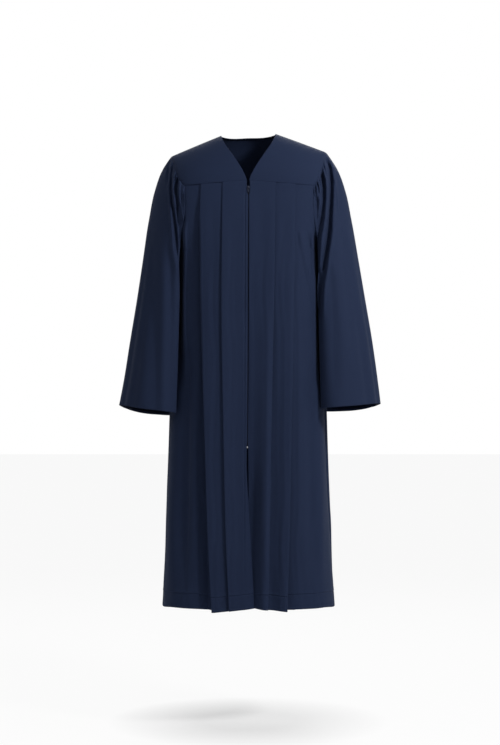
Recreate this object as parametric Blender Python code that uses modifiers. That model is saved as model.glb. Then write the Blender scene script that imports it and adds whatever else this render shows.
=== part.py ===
"""Choir robe in its worn form: yoke, pleated fronts, pleated back, bell sleeves and a front zip.

Metres, +Z up, the wearer faces -Y. The origin is midway between the two points where the
neckline crosses the shoulder seams. Every cloth piece is a wall on one of three forms, the
body, the arch of the yoke over the shoulders and the sleeve, which the functions work out.
"""

import math

import bmesh
import bpy
import numpy as np
from mathutils import Matrix, Vector

# ---------------------------------------------------------------- driving dimensions
CLOTH = 0.0012  # wall of every cloth piece
SEAM_GAP = 0.0003  # between pieces that are sewn together
LAYER = 0.0024  # from one layer of a pressed pleat to the next
PLEAT_RETURN = 0.028  # cloth turned under at a pleat, from its edge to its inner fold
PLEAT_TAIL = 0.7  # share of a pleat's depth that dies out only at the next pleat

BODY_POWER = 3.0  # superellipse power of the horizontal body sections
YOKE_POWER = 1.9  # superellipse power of the arch over a shoulder
YOKE_SEAM = -0.1235  # height of the front yoke seam at the centre front
YOKE_SEAM_DROP = 0.0105  # how much lower it is at the armhole
BACK_SEAM = -0.1450  # height of the back yoke seam
RIDGE_Y = 0.006  # the shoulder seams lie on this line
NECK_X = 0.066  # half the neck opening at the shoulder seams
NECK_BACK = 0.050  # how far the back neckline lies behind the shoulder seams
CREST = 0.025  # radius by which the arch is rounded off over the centre line
RIDGE_STOP = 0.9965  # the yoke pieces end at this share of their rise, on either side of the shoulder seam
BACK_CORNER_X = 0.1560  # where the back yoke seam meets the armhole
UNDERARM = -0.2900  # height of the underarm point
HEM = -1.1370  # height of the hem
HEM_RISE = 0.0095  # the hem is this much higher at the centre front
HEM_RISE_X = 0.0145
HEM_RISE_WIDTH = 0.0950

ZIP_HINGE = -0.1420  # height of the pull tab's hinge
CHAIN_TOP = -0.1430
ZIP_STOP = -0.7500  # top of the bottom stop
STOP_LENGTH = 0.0045
STOP_WIDTH = 0.0034
STOP_THICK = 0.0034
STOP_DEPTH = 0.0013
CHAIN_WIDTH = 0.0040
CHAIN_THICK = 0.0018
CHAIN_DEPTH = 0.0019  # middle of the chain behind the face of the fronts
TAPE_WIDTH = 0.0120
TAPE_THICK = 0.0007
TAPE_DEPTH = 0.0013

# x direction, front yoke corner, shoulder point, height of the neck point, fall of the shoulder,
# centre line to front edge at the neck, cuff heights at the outer, front, inner and back side.
SIDES = {
    "right": (-1, 0.1510, 0.1860, -0.0045, 0.425, 0.0048, (-0.6560, -0.6630, -0.6770, -0.6810)),
    "left": (1, 0.1552, 0.1875, 0.0000, 0.372, 0.0029, (-0.6525, -0.6550, -0.6660, -0.6730)),
}

BODY_COLUMNS = ("z", "half_width", "front", "back")
BODY_SECTIONS = (
    (-0.040, 0.2040, 0.1160, 0.1060),
    (-0.130, 0.1960, 0.1245, 0.1160),
    (-0.200, 0.1860, 0.1335, 0.1240),
    (-0.290, 0.1760, 0.1430, 0.1300),
    (-0.450, 0.1760, 0.1490, 0.1350),
    (-0.650, 0.1830, 0.1550, 0.1450),
    (-0.850, 0.1905, 0.1620, 0.1560),
    (-1.000, 0.1995, 0.1690, 0.1660),
    (-1.140, 0.2085, 0.1760, 0.1760),
)

# Distance of each pleat's edge from the centre line, for the fronts and for half of the back.
PLEAT_COLUMNS = (
    "z", "right_inner", "right_outer", "left_inner", "left_outer", "back_inner", "back_outer"
)
PLEAT_EDGES = (
    (-0.115, 0.0610, 0.1120, 0.0640, 0.1110, 0.0360, 0.0880),
    (-0.210, 0.0620, 0.1150, 0.0630, 0.1100, 0.0370, 0.0900),
    (-0.450, 0.0630, 0.1130, 0.0596, 0.1070, 0.0390, 0.0940),
    (-0.700, 0.0608, 0.1040, 0.0542, 0.1020, 0.0410, 0.0980),
    (-0.950, 0.0545, 0.0940, 0.0500, 0.0970, 0.0440, 0.1040),
    (-1.136, 0.0455, 0.0850, 0.0460, 0.0915, 0.0460, 0.1090),
)
PLEAT_DEPTHS = (  # how far each pleat stands open behind its edge
    (-0.115, 0.0000, 0.0000, 0.0000, 0.0000, 0.0000, 0.0000),
    (-0.210, 0.0020, 0.0020, 0.0005, 0.0010, 0.0010, 0.0015),
    (-0.450, 0.0050, 0.0070, 0.0020, 0.0030, 0.0050, 0.0070),
    (-0.700, 0.0070, 0.0150, 0.0040, 0.0060, 0.0100, 0.0120),
    (-0.950, 0.0090, 0.0230, 0.0080, 0.0120, 0.0150, 0.0180),
    (-1.136, 0.0100, 0.0280, 0.0110, 0.0170, 0.0190, 0.0210),
)

# The two front edges in x, and how deep each lies in the body form.
EDGE_COLUMNS = ("z", "right", "left", "right_depth", "left_depth")
FRONT_EDGES = (
    (-0.110, -0.0048, 0.0038, 0.0000, 0.0000),
    (-0.149, -0.0040, 0.0042, 0.0000, 0.0000),
    (-0.160, -0.0008, 0.0020, 0.0005, 0.0005),
    (-0.300, -0.0012, 0.0016, 0.0040, 0.0030),
    (-0.450, -0.0016, 0.0012, 0.0080, 0.0070),
    (-0.735, -0.0037, -0.0009, 0.0120, 0.0120),
    (-0.757, -0.0046, 0.0000, 0.0120, 0.0120),
    (-0.800, -0.0048, 0.0006, 0.0115, 0.0160),
    (-0.860, -0.0018, -0.0040, 0.0105, 0.0195),
    (-0.950, 0.0037, -0.0060, 0.0095, 0.0220),
    (-1.050, 0.0096, -0.0080, 0.0085, 0.0225),
    (-1.136, 0.0147, -0.0095, 0.0075, 0.0225),
)

# Reach of a sleeve at each height: outer and inner side, front and back.
SLEEVE_COLUMNS = ("z", "right_outer", "left_outer", "inner", "front", "back")
SLEEVE_SECTIONS = (
    (-0.045, 0.1840, 0.1890, 0.1500, 0.0540, 0.0580),
    (-0.086, 0.2110, 0.2160, 0.1440, 0.0740, 0.0790),
    (-0.140, 0.2294, 0.2355, 0.1420, 0.0850, 0.0920),
    (-0.205, 0.2405, 0.2485, 0.1430, 0.0900, 0.1000),
    (-0.300, 0.2540, 0.2650, 0.1450, 0.0950, 0.1100),
    (-0.400, 0.2690, 0.2820, 0.1490, 0.1010, 0.1210),
    (-0.500, 0.2855, 0.2990, 0.1530, 0.1080, 0.1330),
    (-0.600, 0.3015, 0.3130, 0.1560, 0.1160, 0.1450),
    (-0.690, 0.3190, 0.3240, 0.1580, 0.1240, 0.1560),
)
SLEEVE_POWER = 2.4
SLEEVE_SLANT = 0.30  # the front and back of a sleeve lie this share closer together at its outer side
BODY_CLEARANCE = 0.0050  # the sleeve hangs this far off the body
ARMHOLE_STEP = (0.0012, 0.0024)  # the sleeve starts this far outside the armhole, at the top and the underarm
CAP_BLEND = 0.34  # share of the sleeve over which the armhole's shape dies out

# Large folds of a sleeve: angle at the armhole and at the cuff (0 outer, 90 front, 180 inner),
# depth, half width in degrees, and the shares of the length where it starts, is deepest and ends.
SLEEVE_FOLDS = (
    (60.0, 122.0, 0.0070, 12.0, 0.03, 0.22, 0.80),
    (96.0, 146.0, 0.0080, 13.0, 0.04, 0.26, 0.95),
    (258.0, 224.0, 0.0080, 13.0, 0.04, 0.28, 0.95),
    (300.0, 255.0, 0.0080, 12.0, 0.03, 0.24, 0.85),
)

# ---------------------------------------------------------------- mesh density
FRONT_ROWS = (
    0, 0.026, 0.036, 0.075, 0.11, 0.14, 0.153, 0.157, 0.22, 0.32,
    0.44, 0.56, 0.609, 0.631, 0.68, 0.74, 0.83, 0.92, 1,
)
BACK_ROWS = (0, 0.06, 0.105, 0.136, 0.1455, 0.23, 0.36, 0.52, 0.68, 0.84, 1)
SLEEVE_ROWS = (0, 0.03, 0.08, 0.14, 0.21, 0.30, 0.41, 0.54, 0.68, 0.84, 1)
SLEEVE_STEPS = 32
YOKE_ROWS = 8
YOKE_COLUMNS = 6
TAPE_ROWS = 14  # the zip runs along this many rows of the fronts

# ---------------------------------------------------------------- materials: colour, roughness, metallic
FINISHES = {
    "navy_cloth": ((0.020, 0.027, 0.055, 1.0), 0.85, 0.0),
    "zip_tape": ((0.012, 0.016, 0.034, 1.0), 0.80, 0.0),
    "zip_teeth": ((0.015, 0.020, 0.040, 1.0), 0.45, 0.0),
    "zip_enamel": ((0.018, 0.024, 0.046, 1.0), 0.35, 0.4),
    "stop_metal": ((0.55, 0.56, 0.58, 1.0), 0.30, 1.0),
}


# ---------------------------------------------------------------- tables and curves
def table_of(columns, rows):
    """A table as a dictionary of columns, with its heights rising."""
    return dict(zip(columns, np.array(sorted(rows), float).T, strict=True))


def read(table, key, z):
    """A column of a table at any height: cubic pieces whose slopes are those of the neighbouring rows."""
    x, y = table["z"], table[key]
    slopes = np.gradient(y, x)
    z = np.clip(z, x[0], x[-1])
    i = np.clip(np.searchsorted(x, z) - 1, 0, len(x) - 2)
    step = x[i + 1] - x[i]
    t = (z - x[i]) / step
    rise = t * t * (3 - 2 * t)
    bend = step * t * (1 - t) * (slopes[i] * (1 - t) - slopes[i + 1] * t)
    return y[i] * (1 - rise) + y[i + 1] * rise + bend


def straight(table, key, z):
    """A column of a table at any height, on straight pieces."""
    return np.interp(z, table["z"], table[key])


BODY = table_of(BODY_COLUMNS, BODY_SECTIONS)
PLEATS = table_of(PLEAT_COLUMNS, PLEAT_EDGES)
OPEN = table_of(PLEAT_COLUMNS, PLEAT_DEPTHS)
EDGES = table_of(EDGE_COLUMNS, FRONT_EDGES)
SLEEVE = table_of(SLEEVE_COLUMNS, SLEEVE_SECTIONS)


def ease(low, high, value):
    """0 below low, 1 above high, smooth between them."""
    t = np.clip((value - low) / (high - low), 0.0, 1.0)
    return t * t * (3 - 2 * t)


# ---------------------------------------------------------------- body form
def turn_at(x, z):
    """Share of a quarter turn, from the centre line (0) to the side (1), where a body section is x wide."""
    share = np.clip(x / read(BODY, "half_width", z), -1.0, 1.0)
    return np.sign(share) * np.arcsin(np.abs(share) ** (BODY_POWER / 2)) * 2 / math.pi


def body_point(turn, z, depth=0.0, half="front"):
    """Point of the body form: x = w sin(a)^(2/p), y = d cos(a)^(2/p), moved in along its normal by depth."""
    turn, z, depth = np.broadcast_arrays(turn, z, depth)
    wide = read(BODY, "half_width", z)
    deep = read(BODY, half, z)
    angle = np.minimum(np.abs(turn), 1.0) * math.pi / 2
    across = wide * np.maximum(np.sin(angle), 1e-9) ** (2 / BODY_POWER)
    along = deep * np.maximum(np.cos(angle), 1e-9) ** (2 / BODY_POWER)
    normal_x = (across / wide) ** (BODY_POWER - 1) / wide
    normal_y = (along / deep) ** (BODY_POWER - 1) / deep
    size = np.hypot(normal_x, normal_y)
    x = np.sign(turn) * (across - depth * normal_x / size)
    y = along - depth * normal_y / size
    return np.stack([x, -y if half == "front" else y, z], axis=-1)


def moved_round(x, z, distance):
    """x of the place that lies a distance further round the body form.

    dx = distance * cos(slope of the section), with the slope taken half way along.
    """

    def flatness(x):
        wide, deep = read(BODY, "half_width", z), read(BODY, "front", z)
        across = np.clip(np.abs(x) / wide, 1e-6, 0.98)
        rise = (1 - across**BODY_POWER) ** (1 / BODY_POWER)
        return 1 / np.hypot(1.0, deep / wide * (across / rise) ** (BODY_POWER - 1))

    return x + distance * flatness(x + 0.5 * distance * flatness(x))


def side_turn(z, corner_turn, corner_z):
    """The side edge of a panel: a quarter ellipse from the yoke's corner to the underarm, then the seam."""
    drop = np.clip((corner_z - z) / (corner_z - UNDERARM), 0.0, 1.0)
    side = np.arccos((SEAM_GAP / 2 / read(BODY, "front", z)) ** (BODY_POWER / 2)) * 2 / math.pi
    return corner_turn + (side - corner_turn) * (1 - np.sqrt(1 - drop**2))


# ---------------------------------------------------------------- the arch of the yoke
def front_seam(x):
    """Height of the front yoke seam."""
    return YOKE_SEAM - YOKE_SEAM_DROP * np.abs(x) / 0.153


def ridge_height(x):
    """Height of the arch over the shoulders: it falls away from the neck points, more on the right."""
    left = ease(-0.05, 0.05, x)
    neck = SIDES["right"][3] * (1 - left) + SIDES["left"][3] * left
    fall = SIDES["right"][4] * (1 - left) + SIDES["left"][4] * left
    return neck - fall * (np.hypot(x, CREST) - math.hypot(NECK_X, CREST))


def yoke_point(x, v, half="front"):
    """Point of the arch: v is 0 at the yoke's seam and 1 on the shoulder; its legs are superellipses."""
    foot = front_seam(x) if half == "front" else np.full_like(x, BACK_SEAM)
    base = body_point(turn_at(x, foot), foot, 0.0, half)[..., 1]
    angle = v * math.pi / 2
    rise = np.sin(angle) ** (2 / YOKE_POWER)
    reach = np.maximum(np.cos(angle), 1e-9) ** (2 / YOKE_POWER)
    y = RIDGE_Y + (base - RIDGE_Y) * reach
    z = foot + (ridge_height(x) - foot) * rise
    return np.stack([x, y, z], axis=-1)


def rise_of(v):
    """Height share of a place on the arch."""
    return np.sin(v * math.pi / 2) ** (2 / YOKE_POWER)


def yoke_side(side, v, half):
    """Distance of the yoke's armhole edge from the centre line."""
    corner = SIDES[side][1] if half == "front" else BACK_CORNER_X
    return corner + (SIDES[side][2] - corner) * rise_of(v) ** 0.6


def front_neck(side, v):
    """Distance of the V neckline from the centre line: 1 - (1 - r^1.35)^1.65 of its half width at rise r."""
    low = SIDES[side][5]
    return low + (NECK_X - low) * (1 - (1 - rise_of(v) ** 1.35) ** 1.65)


# ---------------------------------------------------------------- pleated panels
def pleat_section(depth, lean):
    """One knife pleat that faces outwards, as offsets from its edge and depths, ending in the layer beneath.

    depth is how far it stands open, and lean how deep the cloth in front of its inner fold lies.
    """
    half = LAYER / 2
    back = np.sqrt(PLEAT_RETURN**2 - depth**2)
    ramp = 0.010 + 1.1 * depth
    none = 0.0 * depth
    return (
        (none - half, none),
        (none, none + half),
        (none - half, LAYER + 0.03 * depth),
        (half - back, LAYER + depth + lean),
        (none - back, 1.5 * LAYER + depth + lean),
        (half - back, 2 * LAYER + depth + lean),
        (none - half, 2 * LAYER + 0.8 * depth),
        (0.5 * ramp, (0.5 + 0.5 * PLEAT_TAIL) * (2 * LAYER + 0.8 * depth)),
        (ramp, PLEAT_TAIL * (2 * LAYER + 0.8 * depth)),
    )


def panel(rows, half, pleats, start, corner_x, seam, hem):
    """Grid of a pleated panel: rows from its seam to its hem, columns from the centre line to its side edge.

    start(z) gives x and depth of the first column. Two plain columns follow, then each pleat
    adds a section of folds, and the last columns run evenly out to the armhole and the side seam.
    """
    inner_shares = (0.0, 0.30, 0.64)
    outer_shares = np.array([0.24, 0.48, 0.72, 0.90, 1.0])
    columns = 3 + 9 * len(pleats) + len(outer_shares)
    share = np.repeat(np.asarray(rows, float)[:, None], columns, axis=1)
    corner_z = float(seam(np.array(corner_x)))
    corner_turn = float(turn_at(corner_x, corner_z))
    z = corner_z + (HEM - corner_z) * share
    for _ in range(4):
        turns, depths = [], []
        for k, inward in enumerate(inner_shares):
            here = z[:, k : k + 1]
            x, depth = start(here)
            turns.append(turn_at(x + (read(PLEATS, pleats[0], here) - x) * inward, here))
            depths.append(depth * (1 - inward))
        for k, name in enumerate(pleats):
            here = z[:, 3 + 9 * k : 12 + 9 * k]
            opened = read(OPEN, name, here)
            place = read(PLEATS, name, here)
            if k == 0:
                near, before = start(here)
            else:
                near = read(PLEATS, pleats[k - 1], here)
                before = PLEAT_TAIL * (2 * LAYER + 0.8 * read(OPEN, pleats[k - 1], here))
            lean = before * PLEAT_RETURN / (place - near)
            for j, (offset, deep) in enumerate(pleat_section(opened, lean)):
                turns.append(turn_at(moved_round(place, here, offset), here)[:, j : j + 1])
                depths.append(deep[:, j : j + 1])
        last, last_depth = turns[-1], depths[-1]
        side = side_turn(z[:, -len(outer_shares) :], corner_turn, corner_z)
        turns.append(last + (side - last) * outer_shares)
        depths.append(last_depth * (1 - outer_shares))
        turn = np.concatenate(turns, axis=1)
        depth = np.concatenate(depths, axis=1)
        x = body_point(turn, z, depth, half)[..., 0]
        z = seam(x) + (hem(x) - seam(x)) * share
    return body_point(turn, z, depth, half)


def front_panel(side):
    """Grid of one front, mirrored for the wearer's right."""
    sign = SIDES[side][0]

    def start(z):
        return sign * straight(EDGES, side, z), straight(EDGES, side + "_depth", z)

    def hem(x):
        return HEM + HEM_RISE * np.maximum(0.0, 1 - np.abs(sign * x - HEM_RISE_X) / HEM_RISE_WIDTH)

    def seam(x):
        return front_seam(x) - SEAM_GAP / 2

    grid = panel(FRONT_ROWS, "front", (side + "_inner", side + "_outer"), start, SIDES[side][1], seam, hem)
    grid[..., 0] *= sign
    return grid


def back_panel():
    """Grid of the back: one half and its mirror image, which share the centre column."""

    def start(z):
        return 0.0 * z, 0.0 * z

    def seam(x):
        return np.full_like(x, BACK_SEAM - SEAM_GAP / 2)

    def hem(x):
        return np.full_like(x, HEM)

    grid = panel(BACK_ROWS, "back", ("back_inner", "back_outer"), start, BACK_CORNER_X, seam, hem)
    mirrored = grid[:, :0:-1] * np.array([-1.0, 1.0, 1.0])
    return np.concatenate([mirrored, grid], axis=1)


# ---------------------------------------------------------------- yoke pieces
def front_yoke(side):
    """Grid of a front yoke from its seam up to the shoulder, from the neckline to the armhole."""
    v = np.linspace(0.0, RIDGE_STOP, YOKE_ROWS)[:, None]
    u = np.linspace(0.0, 1.0, YOKE_COLUMNS)[None, :]
    neck = front_neck(side, v)
    x = neck + (yoke_side(side, v, "front") - neck) * u
    grid = yoke_point(SIDES[side][0] * x, np.broadcast_to(v, x.shape))
    grid[0, :, 2] += SEAM_GAP / 2
    return grid


def back_yoke():
    """Grid of the back yoke across the whole back: columns from the right armhole to the left one."""
    v = np.linspace(0.0, RIDGE_STOP, YOKE_ROWS)[:, None]
    shares = np.linspace(0.0, 1.0, YOKE_COLUMNS + 1)
    halves = []
    for side, (sign, *_) in SIDES.items():
        edge = yoke_side(side, v, "back")
        neck = NECK_X * shares + 0.0 * v
        x = np.concatenate([neck[:, :-1], NECK_X + (edge - NECK_X) * shares[None, :]], axis=1)
        halves.append(sign * x)
    x = np.concatenate([halves[0][:, :0:-1], halves[1]], axis=1)
    inside = np.sqrt(np.maximum(0.0, 1 - (x / NECK_X) ** 2))
    base = body_point(turn_at(x, BACK_SEAM), np.full_like(x, BACK_SEAM), 0.0, "back")[..., 1]
    reach = np.clip(NECK_BACK * inside / (base - RIDGE_Y), 0.0, 1.0)
    top = np.arccos(reach ** (YOKE_POWER / 2)) * 2 / math.pi
    grid = yoke_point(x, np.minimum(v * top / RIDGE_STOP, RIDGE_STOP), "back")
    grid[0, :, 2] += SEAM_GAP / 2
    return grid


# ---------------------------------------------------------------- sleeves
def armhole(side):
    """The armhole as two runs of points, down the front and down the back, from shoulder to underarm."""
    runs = []
    for half, corner_x in (("front", SIDES[side][1]), ("back", BACK_CORNER_X)):
        v = np.linspace(1.0, 0.0, 24)
        yoke = yoke_point(SIDES[side][0] * yoke_side(side, v, half), v, half)
        yoke[:, 0] = np.abs(yoke[:, 0])
        corner_z = float(front_seam(np.array(corner_x))) if half == "front" else BACK_SEAM
        z = corner_z + (UNDERARM - corner_z) * np.sin(np.linspace(0.0, 1.0, 32)[1:] * math.pi / 2)
        turn = side_turn(z, float(turn_at(corner_x, corner_z)), corner_z)
        runs.append(np.concatenate([yoke, body_point(turn, z, 0.0, half)]))
    return runs


def along(run, shares):
    """Points at shares of the length of a run of points."""
    length = np.concatenate([[0.0], np.cumsum(np.linalg.norm(np.diff(run, axis=0), axis=1))])
    return np.stack([np.interp(shares * length[-1], length, run[:, k]) for k in range(3)], axis=-1)


def sleeve_grid(side, rows, steps):
    """Grid of a sleeve: rows from armhole to cuff, columns round it from its outer side past the front."""
    angle = np.arange(steps) / steps * 360.0
    front, back = armhole(side)
    is_front = (angle <= 180.0)[:, None]
    start = np.where(is_front, along(front, angle / 180.0), along(back, (360.0 - angle) / 180.0))
    low_share = (1 - np.cos(np.radians(angle))) / 2
    start[:, 0] += ARMHOLE_STEP[0] + (ARMHOLE_STEP[1] - ARMHOLE_STEP[0]) * low_share

    outer, fore, inner, rear = SIDES[side][6]
    cosine, sine = np.cos(np.radians(angle)), np.sin(np.radians(angle))
    cuff = (
        (outer + fore + inner + rear) / 4
        + (outer - inner) / 2 * cosine
        + (fore - rear) / 2 * sine
        + (outer + inner - fore - rear) / 4 * (2 * cosine**2 - 1)
    )
    t = np.asarray(rows, float)[:, None]
    z = start[None, :, 2] * (1 - t) + cuff[None, :] * t

    def hanging(z):
        reach, close = read(SLEEVE, side + "_outer", z), read(SLEEVE, "inner", z)
        fore, rear = read(SLEEVE, "front", z), read(SLEEVE, "back", z)
        wave_x = np.sign(cosine) * np.abs(cosine) ** (2 / SLEEVE_POWER)
        wave_y = np.sign(sine) * np.abs(sine) ** (2 / SLEEVE_POWER)
        x = (reach + close) / 2 + (reach - close) / 2 * wave_x
        y = -np.where(wave_y > 0, fore, rear) * wave_y * (1 - SLEEVE_SLANT * wave_x)
        return np.stack([x, y], axis=-1)

    fading = (1 - ease(0.0, CAP_BLEND, t)[..., None]) * (start[None, :, :2] - hanging(start[None, :, 2]))
    flat = hanging(z) + fading
    for top, low, deep, wide, first, most, end in SLEEVE_FOLDS:
        place = top + (low - top) * t
        away = (angle[None, :] - place + 180.0) % 360.0 - 180.0
        strength = deep * ease(first, most, t) * (1 - ease(most, end, t))
        dent = strength * np.exp(-((away / wide) ** 2))
        flat[..., 0] -= dent * cosine
        flat[..., 1] += dent * sine

    # below the armhole a point that would lie in the body is moved straight out from its middle
    gap = ARMHOLE_STEP[1] + (BODY_CLEARANCE - ARMHOLE_STEP[1]) * ease(0.0, 0.15, t)
    wide = read(BODY, "half_width", z) + gap
    deep = np.where(flat[..., 1] < 0, read(BODY, "front", z), read(BODY, "back", z)) + gap
    level = (np.abs(flat[..., 0]) / wide) ** BODY_POWER + (np.abs(flat[..., 1]) / deep) ** BODY_POWER
    out = np.maximum(1.0, level ** (-1 / BODY_POWER)) - 1
    flat *= (1 + out * ease(0.0, 0.02, t) * (1 - ease(0.1, 0.5, cosine)))[..., None]
    return np.concatenate([SIDES[side][0] * flat[..., :1], flat[..., 1:], z[..., None]], axis=-1)


# ---------------------------------------------------------------- zip
def strip(z, width, depth, thick):
    """Closed box sections of a strip along the zip, its middle at a depth behind the faces of the fronts."""
    corners = ((-0.5, -0.5), (0.5, -0.5), (0.5, 0.5), (-0.5, 0.5))
    behind = straight(EDGES, "right_depth", z) + depth
    points = []
    for across, inward in corners:
        x = zip_middle(z) + across * width
        points.append(body_point(turn_at(x, z), z, behind + inward * thick))
    return np.stack(points, axis=1)


def tape(side, panel_grid, first_rows):
    """Closed box sections of a zip tape, which lies behind the first columns of its front."""
    sign = SIDES[side][0]
    edge, inland = panel_grid[:first_rows, 0], panel_grid[:first_rows, 1]
    across = (inland - edge) / np.linalg.norm(inland - edge, axis=1)[:, None]
    inwards = np.cross(np.array([0.0, 0.0, sign]), across)
    low = (sign * zip_middle(edge[:, 2]) + tape_edge(edge[:, 2]) - sign * edge[:, 0])[:, None]
    corners = ((0.0, -0.5), (TAPE_WIDTH, -0.5), (TAPE_WIDTH, 0.5), (0.0, 0.5))
    points = []
    for out, deep in corners:
        points.append(edge + across * (low + out) + inwards * (TAPE_DEPTH + deep * TAPE_THICK))
    return np.stack(points, axis=1)


def zip_middle(z):
    """The line the zip runs on, midway between the front edges."""
    return (straight(EDGES, "right", z) + straight(EDGES, "left", z)) / 2


def tape_edge(z):
    """How far a tape's edge is from the middle of the zip: apart above the slider, at the teeth below it."""
    return np.interp(z, (-0.152, -0.141), (0.0024, 0.0038))


# ---------------------------------------------------------------- meshes
def finish(name):
    """Principled material from the table of finishes."""
    material = bpy.data.materials.new(name)
    material.use_nodes = True
    colour, roughness, metallic = FINISHES[name]
    shader = material.node_tree.nodes["Principled BSDF"]
    shader.inputs["Base Color"].default_value = colour
    shader.inputs["Roughness"].default_value = roughness
    shader.inputs["Metallic"].default_value = metallic
    return material


def place(collection, name, mesh, material_name):
    """Object for a finished mesh, with its own material."""
    mesh.materials.append(finish(material_name))
    item = bpy.data.objects.new(name, mesh)
    collection.objects.link(item)
    return item


def grid_mesh(name, grid, closed=False):
    """Mesh of an open surface, or of a tube whose last column joins its first."""
    rows, columns = grid.shape[:2]
    index = np.arange(rows * columns).reshape(rows, columns)
    if closed:
        index = np.concatenate([index, index[:, :1]], axis=1)
    faces = np.stack([index[:-1, :-1], index[1:, :-1], index[1:, 1:], index[:-1, 1:]], axis=-1).reshape(-1, 4)
    mesh = bpy.data.meshes.new(name)
    mesh.from_pydata(grid.reshape(-1, 3).tolist(), [], faces.tolist())
    mesh.update()
    return mesh


def cloth_piece(collection, name, grid, closed=False):
    """A wall of cloth, half of its thickness to either side of the grid."""
    item = place(collection, name, grid_mesh(name, grid, closed), "navy_cloth")
    wall = item.modifiers.new("wall", "SOLIDIFY")
    wall.thickness = CLOTH
    wall.offset = 0.0
    wall.use_even_offset = True
    wall.use_quality_normals = True
    return item


def bar_piece(collection, name, sections, material_name):
    """A solid through closed sections with flat ends."""
    count, sides = sections.shape[:2]
    index = np.arange(count * sides).reshape(count, sides)
    turned = np.roll(index, -1, axis=1)
    faces = np.stack([index[:-1], turned[:-1], turned[1:], index[1:]], axis=-1).reshape(-1, 4).tolist()
    faces += [index[0, ::-1].tolist(), index[-1].tolist()]
    mesh = bpy.data.meshes.new(name)
    mesh.from_pydata(sections.reshape(-1, 3).tolist(), [], faces)
    mesh.update()
    outward(mesh)
    return place(collection, name, mesh, material_name)


def outward(mesh):
    """Faces turned outwards."""
    work = bmesh.new()
    work.from_mesh(mesh)
    bmesh.ops.recalc_face_normals(work, faces=work.faces)
    work.to_mesh(mesh)
    work.free()


def boxes_piece(collection, cutters, name, boxes, frame, material_name):
    """A small solid joined from boxes (centre, size) in a frame."""
    items = []
    for k, (centre, size) in enumerate(boxes):
        mesh = bpy.data.meshes.new(f"{name}_{k}")
        work = bmesh.new()
        shape = Matrix.Translation(centre) @ Matrix.Diagonal((*size, 1.0))
        bmesh.ops.create_cube(work, size=1.0, matrix=shape)
        bmesh.ops.transform(work, matrix=frame, verts=work.verts)
        work.to_mesh(mesh)
        work.free()
        if k == 0:
            items.append(place(collection, name, mesh, material_name))
            continue
        part = bpy.data.objects.new(f"{name}_part_{k}", mesh)
        part.hide_render = True
        part.display_type = "WIRE"
        cutters.objects.link(part)
        join = items[0].modifiers.new(f"join_{k}", "BOOLEAN")
        join.operation = "UNION"
        join.solver = "EXACT"
        join.object = part
    return items[0]


def main():
    """Build every node."""
    for item in list(bpy.data.objects):
        bpy.data.objects.remove(item)
    collection = bpy.data.collections.new("choir_robe")
    cutters = bpy.data.collections.new("choir_robe_joined_parts")
    for group in (collection, cutters):
        bpy.context.scene.collection.children.link(group)

    for side in SIDES:
        front = front_panel(side)
        cloth_piece(collection, f"yoke_front_{side}", front_yoke(side))
        cloth_piece(collection, f"front_{side}", front)
        cloth_piece(collection, f"sleeve_{side}", sleeve_grid(side, SLEEVE_ROWS, SLEEVE_STEPS), closed=True)
        bar_piece(collection, f"zip_tape_{side}", tape(side, front, TAPE_ROWS), "zip_tape")
    cloth_piece(collection, "yoke_back", back_yoke())
    cloth_piece(collection, "back", back_panel())

    heights = front[:TAPE_ROWS, 0, 2]
    between = heights[(heights < CHAIN_TOP) & (heights > ZIP_STOP)]
    chain = strip(np.array([CHAIN_TOP, *between, ZIP_STOP + SEAM_GAP]), CHAIN_WIDTH, CHAIN_DEPTH, CHAIN_THICK)
    bar_piece(collection, "zip_chain", chain, "zip_teeth")
    stop = strip(np.array([ZIP_STOP, ZIP_STOP - STOP_LENGTH]), STOP_WIDTH, STOP_DEPTH, STOP_THICK)
    bar_piece(collection, "zip_bottom_stop", stop, "stop_metal")

    pull = float(zip_middle(ZIP_HINGE))
    upper, here, lower = (body_point(0.0, ZIP_HINGE + dz)[..., :3] for dz in (0.004, 0.0, -0.004))
    down = Vector(lower - upper).normalized()
    out = Vector((1.0, 0.0, 0.0)).cross(down).normalized()
    if out.y > 0:
        out = -out
    frame = Matrix((
        (1.0, 0.0, 0.0, pull),
        (0.0, out.y, -down.y, float(here[1])),
        (0.0, out.z, -down.z, ZIP_HINGE),
        (0.0, 0.0, 0.0, 1.0),
    ))
    # In this frame y points out of the cloth and z up along it; the face of the cloth is at y = 0.
    slider = (
        ((0.0, 0.0001, 0.0), (0.0064, 0.0012, 0.0090)),  # face plate
        ((0.0, -0.0036, 0.0), (0.0064, 0.0010, 0.0090)),  # rear plate
        ((0.0, -0.0017, 0.0034), (0.0020, 0.0050, 0.0020)),  # bridge between the plates
        ((0.0, 0.0021, 0.0032), (0.0016, 0.0042, 0.0010)),  # upper post of the bail
        ((0.0, 0.0021, -0.0032), (0.0016, 0.0042, 0.0010)),  # lower post of the bail
        ((0.0, 0.0038, 0.0), (0.0016, 0.0008, 0.0074)),  # bail
    )
    boxes_piece(collection, cutters, "zip_slider", slider, frame, "zip_enamel")

    hinge = frame @ Vector((0.0, 0.0022, 0.0))
    hung = Matrix.Translation(hinge)
    tab = (
        ((0.0, 0.0, 0.0), (0.0042, 0.0008, 0.0010)),  # cross bar under the bail
        ((0.0016, 0.0, -0.0024), (0.0010, 0.0008, 0.0058)),
        ((-0.0016, 0.0, -0.0024), (0.0010, 0.0008, 0.0058)),
        ((0.0, 0.0, -0.0080), (0.0042, 0.0008, 0.0064)),  # grip
    )
    boxes_piece(collection, cutters, "zip_pull_tab", tab, hung, "zip_enamel")


main()
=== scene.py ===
import math
from collections import namedtuple

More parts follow.
